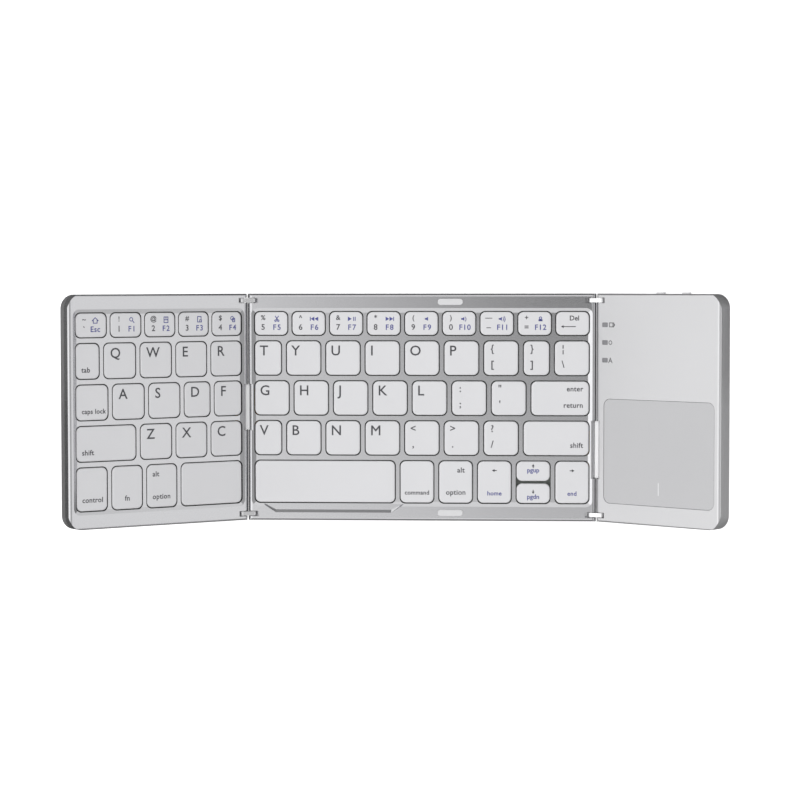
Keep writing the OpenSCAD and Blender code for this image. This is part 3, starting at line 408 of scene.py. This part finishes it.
def empty_piece(name):
    """A new piece with nothing in it yet, at the origin."""
    bpy.ops.object.select_all(action="DESELECT")
    bpy.ops.object.add(type="MESH", location=(0, 0, 0))
    piece = bpy.context.object
    piece.name = name
    return piece


def add_block(low, high):
    """Adds a box between two corners to the piece that is in edit mode."""
    middle = [(a + b) / 2 for a, b in zip(low, high)]
    extent = [b - a for a, b in zip(low, high)]
    bpy.ops.mesh.primitive_cube_add(size=1, location=middle, scale=extent)


def mould_caps(name, outlines, low, top):
    """All the caps of a group as one mesh, drawn flat."""
    caps = empty_piece(name)
    bpy.ops.object.mode_set(mode="EDIT")
    for x0, y0, x1, y1 in outlines:
        add_block((x0, y0, low), (x1, y1, top))
    pick_edges(caps, lambda a, b: abs(a.z - b.z) > (top - low) / 2)
    bpy.ops.mesh.bevel(offset=cap_corner, segments=cap_corner_cuts, affect="EDGES")
    pick_faces(caps, lambda f: f.normal.z < -facing)
    bpy.ops.mesh.inset(thickness=cap_wall, use_individual=True)
    bpy.ops.mesh.extrude_region_move(TRANSFORM_OT_translate={"value": (0, 0, cap_hollow)})
    pick_edges(caps, lambda a, b: min(a.z, b.z) > top - hair)
    bpy.ops.mesh.bevel(offset=cap_edge, segments=cap_edge_cuts, affect="EDGES")
    pick_faces(caps, lambda f: f.normal.z > facing and f.center.z > top - hair)
    bpy.ops.mesh.inset(thickness=dish_in, use_individual=True)
    bpy.ops.transform.translate(value=(0, 0, -dish_depth))
    bpy.ops.object.mode_set(mode="OBJECT")
    return caps


def smooth_over(piece, degrees=35):
    """Smooth shading, but for edges sharper than the angle."""
    bpy.ops.object.select_all(action="DESELECT")
    piece.select_set(True)
    bpy.context.view_layer.objects.active = piece
    bpy.ops.object.shade_smooth_by_angle(angle=math.radians(degrees))


cap_plastic = finish(
    "cap_plastic", (0.60, 0.60, 0.615), (0.63, 0.63, 0.645), 0.02, 0.40, grain=0.0002, relief=0.03
)
# Near-black painted shade for the caps' side walls and insides, in place of the shadow in the gaps
# round the keys.
gap_shade_paint = finish("gap_shade_paint", (0.05, 0.05, 0.055), (0.07, 0.07, 0.075), 0.01, 0.5)
caps_of = {}
for node, panel in KEY_GROUPS.items():
    outlines, (cap_low, cap_top) = keys_in(node, panel)
    caps_of[node] = outlines
    caps = mould_caps(node + "_caps", outlines, cap_low, cap_top)
    smooth_over(caps)
    caps.data.materials.append(cap_plastic)
    caps.data.materials.append(gap_shade_paint)
    # Faces that stand upright or lie below the top take the painted shade, except on the arrow keys.
    for face in caps.data.polygons:
        shaded = abs(face.normal.z) < upright or face.center.z < cap_top - cap_wall
        face.material_index = 1 if shaded and "arrow" not in node else 0
    caps.data.transform(STAND[panel])
    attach(caps, node)
    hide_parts(node)

# ---- Legends ----
# Pad-printed letters, numbers and signs: dark grey for what a key types, blue for what it does
# with the function key. The ink stands less than a tenth of a millimetre above the dished top.

ink_t = 0.04 * MM
ink_z = cap_top - dish_depth
ink_spread = 0.058 * MM
ink_sunk = 0.015 * MM
capital_share = 0.682
letter_h = 4.2 * MM
word_size = 3.1 * MM
sign_size = 4.3 * MM
digit_size = 3.5 * MM
shifted_size = 0.85 * digit_size
function_size = 0.94 * digit_size
long_word_size = 2.85 * MM
command_size = 2.6 * MM
blue_word_size = 2.65 * MM
page_word_size = word_size * 0.9
shaft_half = 0.18 * MM
arrow_head = 0.75 * MM
small_head = 0.7 * MM

dark_ink = finish("dark_ink", (0.045, 0.045, 0.052), (0.065, 0.065, 0.072), 0.004, 0.55)
blue_ink = finish("blue_ink", (0.05, 0.055, 0.22), (0.075, 0.08, 0.27), 0.004, 0.55)


def printed(text, size, x, y, align="CENTER", z=None, apart=1.0):
    """Text as a thin closed mesh, its baseline at y."""
    bpy.ops.object.select_all(action="DESELECT")
    bpy.ops.object.text_add(location=(0, 0, 0))
    label = bpy.context.object
    label.data.body = text
    label.data.size = size
    label.data.align_x = align
    label.data.extrude = ink_t / 2
    label.data.resolution_u = 3
    label.data.bevel_depth = ink_spread
    label.data.bevel_resolution = 0
    label.data.space_character = apart
    bpy.ops.object.convert(target="MESH")
    label = bpy.context.object
    label.data.transform(Matrix.Translation((x, y, (ink_z if z is None else z) - ink_sunk)))
    return label


def arrow(x, y, length, head, angle=0):
    """A printed arrow about (x, y) that points left, turned by angle: a round head and a shaft."""
    bpy.ops.object.select_all(action="DESELECT")
    bpy.ops.mesh.primitive_cylinder_add(vertices=3, radius=head, depth=ink_t, location=(0, 0, 0))
    piece = bpy.context.object
    bpy.ops.object.transform_apply(location=True, rotation=True, scale=True)
    piece.data.transform(Matrix.Rotation(math.radians(90), 4, "Z"))
    piece.data.transform(Matrix.Translation((-length / 2 + head, 0, 0)))
    if length > 2 * head:
        bpy.ops.object.mode_set(mode="EDIT")
        shaft_low = (-length / 2 + head, -shaft_half, -ink_t / 2)
        add_block(shaft_low, (length / 2, shaft_half, ink_t / 2))
        bpy.ops.object.mode_set(mode="OBJECT")
    piece.data.transform(Matrix.Rotation(math.radians(angle), 4, "Z"))
    piece.data.transform(Matrix.Translation((x, y, ink_z)))
    return piece


def join_prints(labels, name, ink, node, panel):
    """Joins a group's prints of one ink, stands them on their panel and lets them ride their keys."""
    bpy.ops.object.select_all(action="DESELECT")
    for label in labels:
        label.select_set(True)
    bpy.context.view_layer.objects.active = labels[0]
    if len(labels) > 1:
        bpy.ops.object.join()
    print_piece = bpy.context.object
    print_piece.name = name
    print_piece.data.transform(STAND[panel])
    print_piece.data.materials.clear()
    print_piece.data.materials.append(ink)
    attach(print_piece, node)
    return print_piece


letter_in = {"left": 2.7 * MM, "middle": 2.05 * MM}
letter_down = 1.95 * MM + letter_h
number_spots = {"left": (3.9 * MM, 10.0 * MM), "middle": (3.6 * MM, 9.65 * MM)}
digit_down = 7.8 * MM
shifted_down = 3.5 * MM
icon_down = 3.05 * MM
pair_in = 3.55 * MM
pair_upper = 4.6 * MM
pair_lower = 11.4 * MM
word_in = 2.5 * MM
word_up = 2.7 * MM
low_row_rise = 0.88 * MM
enter_side_rise = 0.65 * MM
word_down = 4.9 * MM
alt_in = 3.3 * MM
option_in = 2.8 * MM
esc_shift = 0.9 * MM
word_apart = 1.06
short_apart = 1.25
long_apart = 1.1


def letters_on(node, panel, letters):
    """One capital at the upper left of each key; a space leaves a key bare."""
    labels = []
    for letter, (x0, y0, x1, y1) in zip(letters, caps_of[node]):
        if letter != " ":
            labels.append(
                printed(
                    letter,
                    letter_h / capital_share,
                    x0 + letter_in[panel],
                    y1 - letter_down,
                    align="LEFT",
                )
            )
    return labels


def pair_on(cap, upper, lower):
    """The shifted sign over the plain one, near a key's left edge."""
    x0, y0, x1, y1 = cap
    return [
        printed(upper, sign_size, x0 + pair_in, y1 - pair_upper),
        printed(lower, sign_size, x0 + pair_in, y1 - pair_lower),
    ]


def word_on(cap, word, spot="lower left", size=word_size, inset=word_in, rise=0):
    """A word in a corner or in the middle of a key."""
    x0, y0, x1, y1 = cap
    y = rise + (y0 + word_up if "lower" in spot else y1 - word_down)
    if "left" in spot:
        return printed(word, size, x0 + inset, y, align="LEFT", apart=word_apart)
    if "right" in spot:
        return printed(word, size, x1 - inset, y, align="RIGHT", apart=word_apart)
    return printed(word, size, (x0 + x1) / 2, y, apart=word_apart)


def number_signs(node, panel, shifted, digits):
    """Digit and shifted sign in the left half of each number key."""
    labels = []
    for upper, lower, (x0, y0, x1, y1) in zip(shifted, digits, caps_of[node]):
        x = x0 + number_spots[panel][0]
        labels.append(printed(upper, shifted_size, x, y1 - shifted_down))
        labels.append(printed(lower, digit_size, x, y1 - digit_down))
    return labels


def number_functions(node, panel, names, icons):
    """Function name and icon in the right half of each number key."""
    labels = []
    for name, icon, (x0, y0, x1, y1) in zip(names, icons, caps_of[node]):
        x = x0 + number_spots[panel][1]
        if name == "Esc":
            x -= esc_shift
        apart = long_apart if len(name) > 2 else short_apart
        labels.append(printed(name, function_size, x, y1 - digit_down, apart=apart))
        labels += draw_sign(icon, x, y1 - icon_down)
    return labels


stroke = 0.36 * MM
stroke_over = 0.7
wave_size = 1.15 * MM
wave_drop = 0.33 * MM
SIGNS = {
    "home": {
        "lines": [
            (-1.4, -0.1, 0, 1.2),
            (0, 1.2, 1.4, -0.1),
            (-0.9, 0, -0.9, -1.1),
            (0.9, 0, 0.9, -1.1),
            (-0.9, -1.1, 0.9, -1.1),
            (-1.4, -0.1, -0.8, -0.1),
            (0.8, -0.1, 1.4, -0.1),
        ]
    },
    "search": {"rings": [(-0.3, 0.35, 0.75)], "lines": [(0.25, -0.2, 1.1, -1.1)]},
    "screen": {
        "lines": [
            (-0.95, -1.2, -0.95, 1.2),
            (0.95, -1.2, 0.95, 1.2),
            (-0.95, 1.2, 0.95, 1.2),
            (-0.95, -1.2, 0.95, -1.2),
            (-0.95, 0, 0.95, 0),
            (0, 0.5, 0, 1.1),
        ]
    },
    "copy": {
        "lines": [
            (-0.95, -1.1, -0.95, 1.2),
            (-0.95, 1.2, 0.75, 1.2),
            (0.75, 1.2, 0.75, 0.2),
            (-0.95, -1.1, 0.1, -1.1),
            (0.1, -1.1, 0.1, -0.2),
            (0.1, -0.2, 0.95, -0.2),
            (0.95, -0.2, 0.95, -1.1),
            (0.1, -1.1, 0.95, -1.1),
        ]
    },
    "paste": {
        "rings": [(-0.2, 0.35, 0.75)],
        "lines": [
            (0, -1.2, 1.1, -1.2),
            (1.1, -1.2, 1.1, 0.3),
            (1.1, 0.3, 0, 0.3),
            (0, 0.3, 0, -1.2),
            (0.3, -0.4, 0.8, -0.4),
        ],
    },
    "cut": {
        "lines": [(-0.7, 1.2, 0.45, -0.6), (0.7, 1.2, -0.45, -0.6)],
        "rings": [(-0.6, -0.8, 0.35), (0.6, -0.8, 0.35)],
    },
    "previous": {
        "lines": [(-1.8, -0.75, -1.8, 0.75)],
        "wedges": [(-0.55, 0, 1.1, 180), (1.15, 0, 1.1, 180)],
    },
    "play": {
        "lines": [(0.75, -0.75, 0.75, 0.75), (1.45, -0.75, 1.45, 0.75)],
        "wedges": [(-1.2, 0, 1.15, 0)],
    },
    "next": {
        "lines": [(1.8, -0.75, 1.8, 0.75)],
        "wedges": [(-1.15, 0, 1.1, 0), (0.55, 0, 1.1, 0)],
    },
    "quiet": {"wedges": [(-0.1, 0, 1.0, 180)], "lines": [(-0.8, -0.25, -0.8, 0.25)]},
    "softer": {
        "wedges": [(-0.7, 0, 0.95, 180)],
        "lines": [(-1.4, -0.25, -1.4, 0.25)],
        "waves": [(0.4, 1.9)],
    },
    "louder": {
        "wedges": [(-0.8, 0, 0.95, 180)],
        "lines": [(-1.5, -0.25, -1.5, 0.25)],
        "waves": [(0.3, 1.6), (0.95, 2.3)],
    },
    "lock": {
        "rings": [(0, 0.35, 0.5)],
        "lines": [(-0.75, -0.35, 0.75, -0.35), (-0.75, -0.6, 0.75, -0.6), (-0.75, -0.85, 0.75, -0.85)],
    },
}


def draw_sign(name, x, y, z=None):
    """A printed sign about (x, y), drawn with strokes, rings, wedges and sound waves in mm."""
    shape = SIGNS[name]
    sign = empty_piece("sign_" + name)
    bpy.ops.object.mode_set(mode="EDIT")
    for x0, y0, x1, y1 in shape.get("lines", ()):
        bpy.ops.mesh.primitive_cube_add(
            size=1,
            location=((x0 + x1) / 2 * MM, (y0 + y1) / 2 * MM, 0),
            rotation=(0, 0, math.atan2(y1 - y0, x1 - x0)),
            scale=(math.hypot(x1 - x0, y1 - y0) * MM + stroke * stroke_over, stroke, ink_t),
        )
    for across, along, radius in shape.get("rings", ()):
        bpy.ops.mesh.primitive_torus_add(
            location=(across * MM, along * MM, 0),
            major_radius=radius * MM,
            minor_radius=stroke / 2,
            major_segments=18,
            minor_segments=4,
        )
        bpy.ops.transform.resize(value=(1, 1, ink_t / stroke))
    for across, along, radius, angle in shape.get("wedges", ()):
        bpy.ops.mesh.primitive_cylinder_add(
            vertices=3,
            radius=radius * MM,
            depth=ink_t,
            location=(across * MM, along * MM, 0),
            rotation=(0, 0, math.radians(angle - 90)),
        )
    bpy.ops.object.mode_set(mode="OBJECT")
    sign.data.transform(Matrix.Translation((x, y, ink_z if z is None else z)))
    waves = [
        printed(")", high * wave_size, x + across * MM, y - high * wave_drop)
        for across, high in shape.get("waves", ())
    ]
    return [sign, *waves]


delete_in = 7.9 * MM
delete_down = 3.7 * MM
erase_in = 5.3 * MM
erase_down = 6.4 * MM
erase_length = 6.4 * MM
left_icons = ["home", "search", "screen", "copy", "paste"]
middle_icons = ["cut", "previous", "play", "next", "quiet", "softer", "louder", "lock"]

row = "left_key_row_1"
labels = number_signs(row, "left", "~!@#$", "`1234")
join_prints(labels, "left_number_signs", dark_ink, row, "left")
labels = number_functions(row, "left", ["Esc", "F1", "F2", "F3", "F4"], left_icons)
join_prints(labels, "left_function_signs", blue_ink, row, "left")

row = "middle_key_row_1"
labels = number_signs(row, "middle", "%^&*()—+", "567890–=")
delete_cap = caps_of[row][8]
delete_x, delete_rear = delete_cap[0], delete_cap[3]
labels.append(printed("Del", shifted_size, delete_x + delete_in, delete_rear - delete_down))
labels.append(arrow(delete_x + erase_in, delete_rear - erase_down, erase_length, arrow_head))
join_prints(labels, "middle_number_signs", dark_ink, row, "middle")
names = ["F5", "F6", "F7", "F8", "F9", "F10", "F11", "F12"]
labels = number_functions(row, "middle", names, middle_icons)
join_prints(labels, "middle_function_signs", blue_ink, row, "middle")

row = "left_key_row_2"
labels = letters_on(row, "left", " QWER")
labels.append(word_on(caps_of[row][0], "tab"))
join_prints(labels, "left_letters_2", dark_ink, row, "left")

row = "left_key_row_3"
labels = letters_on(row, "left", " ASDF")
labels.append(word_on(caps_of[row][0], "caps lock", size=long_word_size))
join_prints(labels, "left_letters_3", dark_ink, row, "left")

row = "left_key_row_4"
labels = letters_on(row, "left", " ZXC")
labels.append(word_on(caps_of[row][0], "shift"))
join_prints(labels, "left_letters_4", dark_ink, row, "left")

row = "left_key_row_5"
labels = [
    word_on(caps_of[row][0], "control", rise=low_row_rise),
    word_on(caps_of[row][1], "fn", "lower middle", rise=low_row_rise),
    word_on(caps_of[row][2], "alt", "upper left"),
    word_on(caps_of[row][2], "option", rise=low_row_rise),
]
join_prints(labels, "left_words_5", dark_ink, row, "left")

row = "middle_key_row_2"
labels = letters_on(row, "middle", "TYUIOP   ")
labels += pair_on(caps_of[row][6], "{", "[")
labels += pair_on(caps_of[row][7], "}", "]")
labels += pair_on(caps_of[row][8], "¦", "\\")
join_prints(labels, "middle_letters_2", dark_ink, row, "middle")

row = "middle_key_row_3"
labels = letters_on(row, "middle", "GHJKL  ")
labels += pair_on(caps_of[row][5], ":", ";")
labels += pair_on(caps_of[row][6], '"', "'")
join_prints(labels, "middle_letters_3", dark_ink, row, "middle")

row = "middle_key_row_4"
labels = letters_on(row, "middle", "VBNM   ")
labels += pair_on(caps_of[row][4], "<", ",")
labels += pair_on(caps_of[row][5], ">", ".")
labels += pair_on(caps_of[row][6], "?", "/")
join_prints(labels, "middle_letters_4", dark_ink, row, "middle")

side_arrow_down = 4.0 * MM
side_arrow_length = 2.1 * MM
row = "middle_key_row_5"
command_cap, option_cap, home_cap, end_cap = caps_of[row]
home_x = (home_cap[0] + home_cap[2]) / 2
end_x = (end_cap[0] + end_cap[2]) / 2
side_arrow_y = home_cap[3] - side_arrow_down
labels = [
    word_on(command_cap, "command", "lower middle", command_size, rise=low_row_rise),
    word_on(option_cap, "alt", "upper right", inset=alt_in),
    word_on(option_cap, "option", "lower right", inset=option_in, rise=low_row_rise),
    arrow(home_x, side_arrow_y, side_arrow_length, arrow_head),
    arrow(end_x, side_arrow_y, side_arrow_length, arrow_head, 180),
]
join_prints(labels, "middle_words_5", dark_ink, row, "middle")
labels = [
    word_on(home_cap, "home", "lower middle", blue_word_size, rise=enter_side_rise),
    word_on(end_cap, "end", "lower middle", blue_word_size, rise=enter_side_rise),
]
join_prints(labels, "middle_blue_words_5", blue_ink, row, "middle")

small_arrow_length = 1.8 * MM
up_arrow_down = 2 * MM
down_arrow_down = 3.6 * MM
page_up_rise = 3.8 * MM
page_down_rise = 1.9 * MM
up_cap = caps_of["up_arrow_key"][0]
down_cap = caps_of["down_arrow_key"][0]
x = (up_cap[0] + up_cap[2]) / 2
labels = [arrow(x, up_cap[3] - up_arrow_down, small_arrow_length, small_head, -90)]
join_prints(labels, "up_arrow_sign", dark_ink, "up_arrow_key", "middle")
labels = [printed("pgup", page_word_size, x, up_cap[1] + page_up_rise)]
join_prints(labels, "up_arrow_word", blue_ink, "up_arrow_key", "middle")
labels = [arrow(x, down_cap[3] - down_arrow_down, small_arrow_length, small_head, 90)]
join_prints(labels, "down_arrow_sign", dark_ink, "down_arrow_key", "middle")
labels = [printed("pgdn", page_word_size, x, down_cap[1] + page_down_rise)]
join_prints(labels, "down_arrow_word", blue_ink, "down_arrow_key", "middle")

enter_cap = caps_of["enter_key"][0]
labels = [word_on(enter_cap, "enter", "upper right", rise=enter_side_rise)]
labels.append(word_on(enter_cap, "return", "lower right", rise=enter_side_rise))
join_prints(labels, "enter_words", dark_ink, "enter_key", "middle")
shift_cap = caps_of["right_shift_key"][0]
labels = [word_on(shift_cap, "shift", "lower right", rise=enter_side_rise)]
join_prints(labels, "right_shift_word", dark_ink, "right_shift_key", "middle")

# ---- Domes, scissor links and stabiliser wires ----
# Under each cap a silicone dome springs the key back, two crossed plastic links keep it level,
# and a bent steel wire does so under the wide ones. They stand on the membrane and flatten
# as their key goes down. Each key group has its own share of them, and the shares stay with their
# panel.

dome_silicone = finish("dome_silicone", (0.72, 0.73, 0.75), (0.78, 0.79, 0.80), 0.004, 0.5)
link_plastic = finish("link_plastic", (0.80, 0.80, 0.76), (0.86, 0.86, 0.83), 0.005, 0.45)
wire_steel = finish(
    "wire_steel", (0.45, 0.45, 0.47), (0.52, 0.52, 0.54), 0.003, 0.3, metal=1.0, grain=0.0001
)
STACK_FINISH = {
    "rubber_domes": dome_silicone,
    "scissor_links": link_plastic,
    "stabiliser_wires": wire_steel,
}
WIDE_GROUPS = ("left_key_row_4", "left_space_key", "space_bar", "enter_key", "right_shift_key")
spare = MM


def within(point, outlines):
    """Whether a point in a flat panel lies under one of the caps."""
    return any(
        x0 - spare < point.x < x1 + spare and y0 - spare < point.y < y1 + spare
        for x0, y0, x1, y1 in outlines
    )


def share_of(node, panel, outlines, name):
    """A copy of a CAD node that keeps only what stands under the caps of one group."""
    piece = bpy.data.objects.new(name, nodes[node].data.copy())
    bpy.context.scene.collection.objects.link(piece)
    lay = STAND[panel].inverted()
    bpy.ops.object.select_all(action="DESELECT")
    piece.select_set(True)
    bpy.context.view_layer.objects.active = piece
    bpy.ops.object.mode_set(mode="EDIT")
    bpy.ops.mesh.select_all(action="SELECT")
    bpy.ops.mesh.remove_doubles(threshold=hair)
    pick_faces(piece, lambda f: not within(lay @ f.center, outlines))
    bpy.ops.mesh.delete(type="FACE")
    bpy.ops.object.mode_set(mode="OBJECT")
    return piece


for panel in ("left", "middle"):
    groups = [g for g, p in KEY_GROUPS.items() if p == panel]
    for kind, material in STACK_FINISH.items():
        node = panel + "_" + kind
        corners = flat_corners(node, panel)
        for group in groups:
            if kind == "stabiliser_wires" and group not in WIDE_GROUPS:
                continue
            piece = share_of(node, panel, caps_of[group], group + "_" + kind)
            smooth_over(piece)
            piece.data.materials.clear()
            piece.data.materials.append(material)
            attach(piece, panel + "_panel")
            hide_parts(node)
            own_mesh(piece)

# ---- Key plates and membranes ----
# A thin steel plate stiffens each key panel, and the switch membrane, three films with printed
# silver tracks, lies on it.

plate_steel = finish("plate_steel", (0.42, 0.43, 0.45), (0.50, 0.51, 0.53), 0.01, 0.35, metal=1.0)
membrane_film = finish("membrane_film", (0.22, 0.25, 0.23), (0.30, 0.32, 0.29), 0.004, 0.3)
for panel in ("left", "middle"):
    dress(panel + "_key_plate", plate_steel)
    dress(panel + "_membrane", membrane_film)

# ---- Touchpad ----
# A matte grey plate set just below the cover, with a short printed line between its two
# buttons. Its board is glued under it, and a ribbon leads to the main board.

touchpad_plastic = finish(
    "touchpad_plastic", (0.43, 0.43, 0.44), (0.45, 0.45, 0.46), 0.03, 0.5, grain=0.00025
)
board_green = finish("board_green", (0.02, 0.15, 0.07), (0.05, 0.26, 0.14), 0.003, 0.35)
film_amber = finish("film_amber", (0.50, 0.26, 0.07), (0.62, 0.36, 0.12), 0.004, 0.3)
dress("touchpad", touchpad_plastic)
pad_mesh = nodes["touchpad"].data
# The touchpad's side walls take the same near-black painted shade, for a dark border round it.
pad_mesh.materials.append(gap_shade_paint)
pad_up = STAND["right"].to_3x3() @ Vector((0, 0, 1))
for face in pad_mesh.polygons:
    face.material_index = 1 if abs(face.normal.dot(pad_up)) < upright else 0
dress("touchpad_board", board_green)
dress("touchpad_ribbon", film_amber)
dress("main_board", board_green)

mark_up = 4.6 * MM
mark_width = 0.35 * MM
mark_length = 5.4 * MM
mark_ink = finish("mark_ink", (0.66, 0.66, 0.67), (0.70, 0.70, 0.71), 0.004, 0.5)
pad_corners = flat_corners("touchpad", "right")
mark_x = (min(c.x for c in pad_corners) + max(c.x for c in pad_corners)) / 2
mark_y = min(c.y for c in pad_corners) + mark_up
mark_z = max(c.z for c in pad_corners)
mark = empty_piece("touchpad_mark")
bpy.ops.object.mode_set(mode="EDIT")
mark_low = (mark_x, mark_y, mark_z - ink_t / 2)
mark_high = (mark_x + mark_width, mark_y + mark_length, mark_z + ink_t / 2)
add_block(mark_low, mark_high)
bpy.ops.object.mode_set(mode="OBJECT")
join_prints([mark], "touchpad_mark", mark_ink, "right_panel", "right")

# ---- Indicator windows ----
# Three smoked plastic light guides, pressed into windows in the cover; a lamp on the main board
# shines into each. A grey sign is printed beside every one.

smoked = finish("smoked_lens", (0.16, 0.16, 0.17), (0.22, 0.22, 0.23), 0.002, 0.3)
dress("indicator_lenses", smoked)

sign_gap = 2.9 * MM
battery_aside = 0.7 * MM
mode_size = 3.2 * MM
mode_drop = 1.1 * MM
lens_half = MM
SIGNS["battery"] = {
    "lines": [
        (-1.2, -0.85, 1.1, -0.85),
        (-1.2, 0.85, 1.1, 0.85),
        (-1.2, -0.85, -1.2, 0.85),
        (1.1, -0.85, 1.1, 0.85),
        (1.5, -0.35, 1.5, 0.35),
        (0.6, -0.6, 0.6, 0.6),
    ]
}
SIGNS["paired"] = {"rings": [(0, 0, 0.8)]}
lens_corners = flat_corners("indicator_lenses", "right")
lens_top = max(c.z for c in flat_corners("right_top_cover", "right"))
lens_x = (min(c.x for c in lens_corners) + max(c.x for c in lens_corners)) / 2
lens_ys = (min(c.y for c in lens_corners) + lens_half, max(c.y for c in lens_corners) - lens_half)
labels = draw_sign("battery", lens_x + sign_gap + battery_aside, lens_ys[1], lens_top)
labels += draw_sign("paired", lens_x + sign_gap, sum(lens_ys) / 2, lens_top)
labels.append(printed("A", mode_size, lens_x + sign_gap, lens_ys[0] - mode_drop, z=lens_top))
grey_ink = finish("grey_ink", (0.10, 0.10, 0.105), (0.13, 0.13, 0.135), 0.004, 0.55)
join_prints(labels, "indicator_signs", grey_ink, "right_panel", "right")

# ---- Battery, socket, switch and button ----
# A foil pouch cell, a stamped steel charging socket, and a slide switch and a pairing button
# whose tips stand out of the rear edge.

pouch_foil = finish("pouch_foil", (0.50, 0.52, 0.55), (0.60, 0.62, 0.64), 0.006, 0.35, metal=0.8)
stamped_steel = finish("stamped_steel", (0.52, 0.52, 0.53), (0.58, 0.58, 0.59), 0.003, 0.28, metal=1.0)
dress("battery", pouch_foil)
dress("charging_socket", stamped_steel)
dress("power_switch_body", stamped_steel)
tip_plastic = finish("tip_plastic", (0.74, 0.74, 0.75), (0.78, 0.78, 0.79), 0.004, 0.45)
dress("power_switch_knob", tip_plastic)
dress("pairing_button", tip_plastic)

# ---- Hinges ----
# Cast links turn on steel pins in slots of both panels, and a thin dark spine joins the two
# links. A pale cover over the flat cable is fixed on the spine.

link_metal = finish("link_metal", (0.74, 0.74, 0.75), (0.80, 0.80, 0.81), 0.003, 0.3, metal=0.8)
spine_metal = finish("spine_metal", (0.10, 0.10, 0.11), (0.13, 0.13, 0.14), 0.003, 0.4, metal=0.6)
cover_plastic = finish("cover_plastic", (0.78, 0.78, 0.79), (0.84, 0.84, 0.85), 0.004, 0.4)
spine_reach = 44.5 * MM
for side in ("left", "right"):
    dress(side + "_hinge_links", link_metal)
    dress(side + "_hinge_pins", stamped_steel)
    dress(side + "_cable_cover", cover_plastic)
    links = nodes[side + "_hinge_links"].data
    links.materials.append(spine_metal)
    for face in links.polygons:
        face.material_index = 1 if abs(face.center.y) < spine_reach else 0

# ---- Flat cables ----
# An amber film with printed tracks carries the keys' and the touchpad's lines under each hinge.
# It is held in both panels and bends in two steps, about the inner and the outer pins.

cable_edge = 0.35 * MM
cable_cuts = 12
cable_weld = 0.001 * MM
cable_rise = 0.05 * MM
pin_to_hinge_line = 2.3 * MM


def cable_half(side, held_by, start, end, keep_before):
    """Half of a hinge's flat cable, sliced across into short lengths."""
    node = side + "_flat_cable"
    half = bpy.data.objects.new(side + "_cable_to_" + held_by, nodes[node].data.copy())
    bpy.context.scene.collection.objects.link(half)
    bpy.ops.object.select_all(action="DESELECT")
    half.select_set(True)
    bpy.context.view_layer.objects.active = half
    bpy.ops.object.mode_set(mode="EDIT")
    bpy.ops.mesh.select_all(action="SELECT")
    bpy.ops.mesh.remove_doubles(threshold=cable_weld)
    along = (end - start).normalized()
    for i in range(cable_cuts):
        bpy.ops.mesh.select_all(action="SELECT")
        place = start.lerp(end, i / cable_cuts)
        bpy.ops.mesh.bisect(plane_co=place, plane_no=along)
    bpy.ops.mesh.select_all(action="SELECT")
    middle = end if keep_before else start
    bpy.ops.mesh.bisect(
        plane_co=middle,
        plane_no=along,
        use_fill=True,
        clear_outer=keep_before,
        clear_inner=not keep_before,
    )
    bpy.ops.mesh.select_all(action="SELECT")
    bpy.ops.mesh.normals_make_consistent(inside=False)
    bpy.ops.object.mode_set(mode="OBJECT")
    half.data.materials.clear()
    half.data.materials.append(film_amber)
    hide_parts(node)
    return half


for side in ("left", "right"):
    way = -1 if side == "left" else 1
    hinge_x = abs(joint_named(side + "_hinge_inner")["pos_m"][0]) + pin_to_hinge_line
    corners = flat_corners(side + "_flat_cable", "middle")
    cable_y = (min(c.y for c in corners) + max(c.y for c in corners)) / 2
    cable_z = min(c.z for c in corners) + cable_rise
    inner = Vector((way * (hinge_x - cable_edge), cable_y, cable_z))
    outer = STAND[side] @ Vector((way * (hinge_x + cable_edge), cable_y, cable_z))
    middle = (inner + outer) / 2
    half = cable_half(side, "middle_panel", inner, middle, True)
    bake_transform(half)
    half = cable_half(side, side + "_panel", middle, outer, False)
    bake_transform(half)

# ---- Bumpers, magnets, screws and feet ----
# Pale rubber bumpers keep the folded panels apart, magnets hold them shut, screws close the
# back covers, and dark rubber feet stand on the desk.

bumper_rubber = finish("bumper_rubber", (0.58, 0.58, 0.59), (0.62, 0.62, 0.63), 0.003, 0.6)
magnet_nickel = finish("magnet_nickel", (0.30, 0.30, 0.32), (0.36, 0.36, 0.38), 0.003, 0.25, metal=1.0)
foot_rubber = finish("foot_rubber", (0.03, 0.03, 0.032), (0.05, 0.05, 0.052), 0.003, 0.75)
dress("fold_bumpers", bumper_rubber)
for panel in ("left", "middle", "right"):
    dress(panel + "_magnets", magnet_nickel)
    dress(panel + "_feet", foot_rubber)
    dress(panel + "_screws", wire_steel)
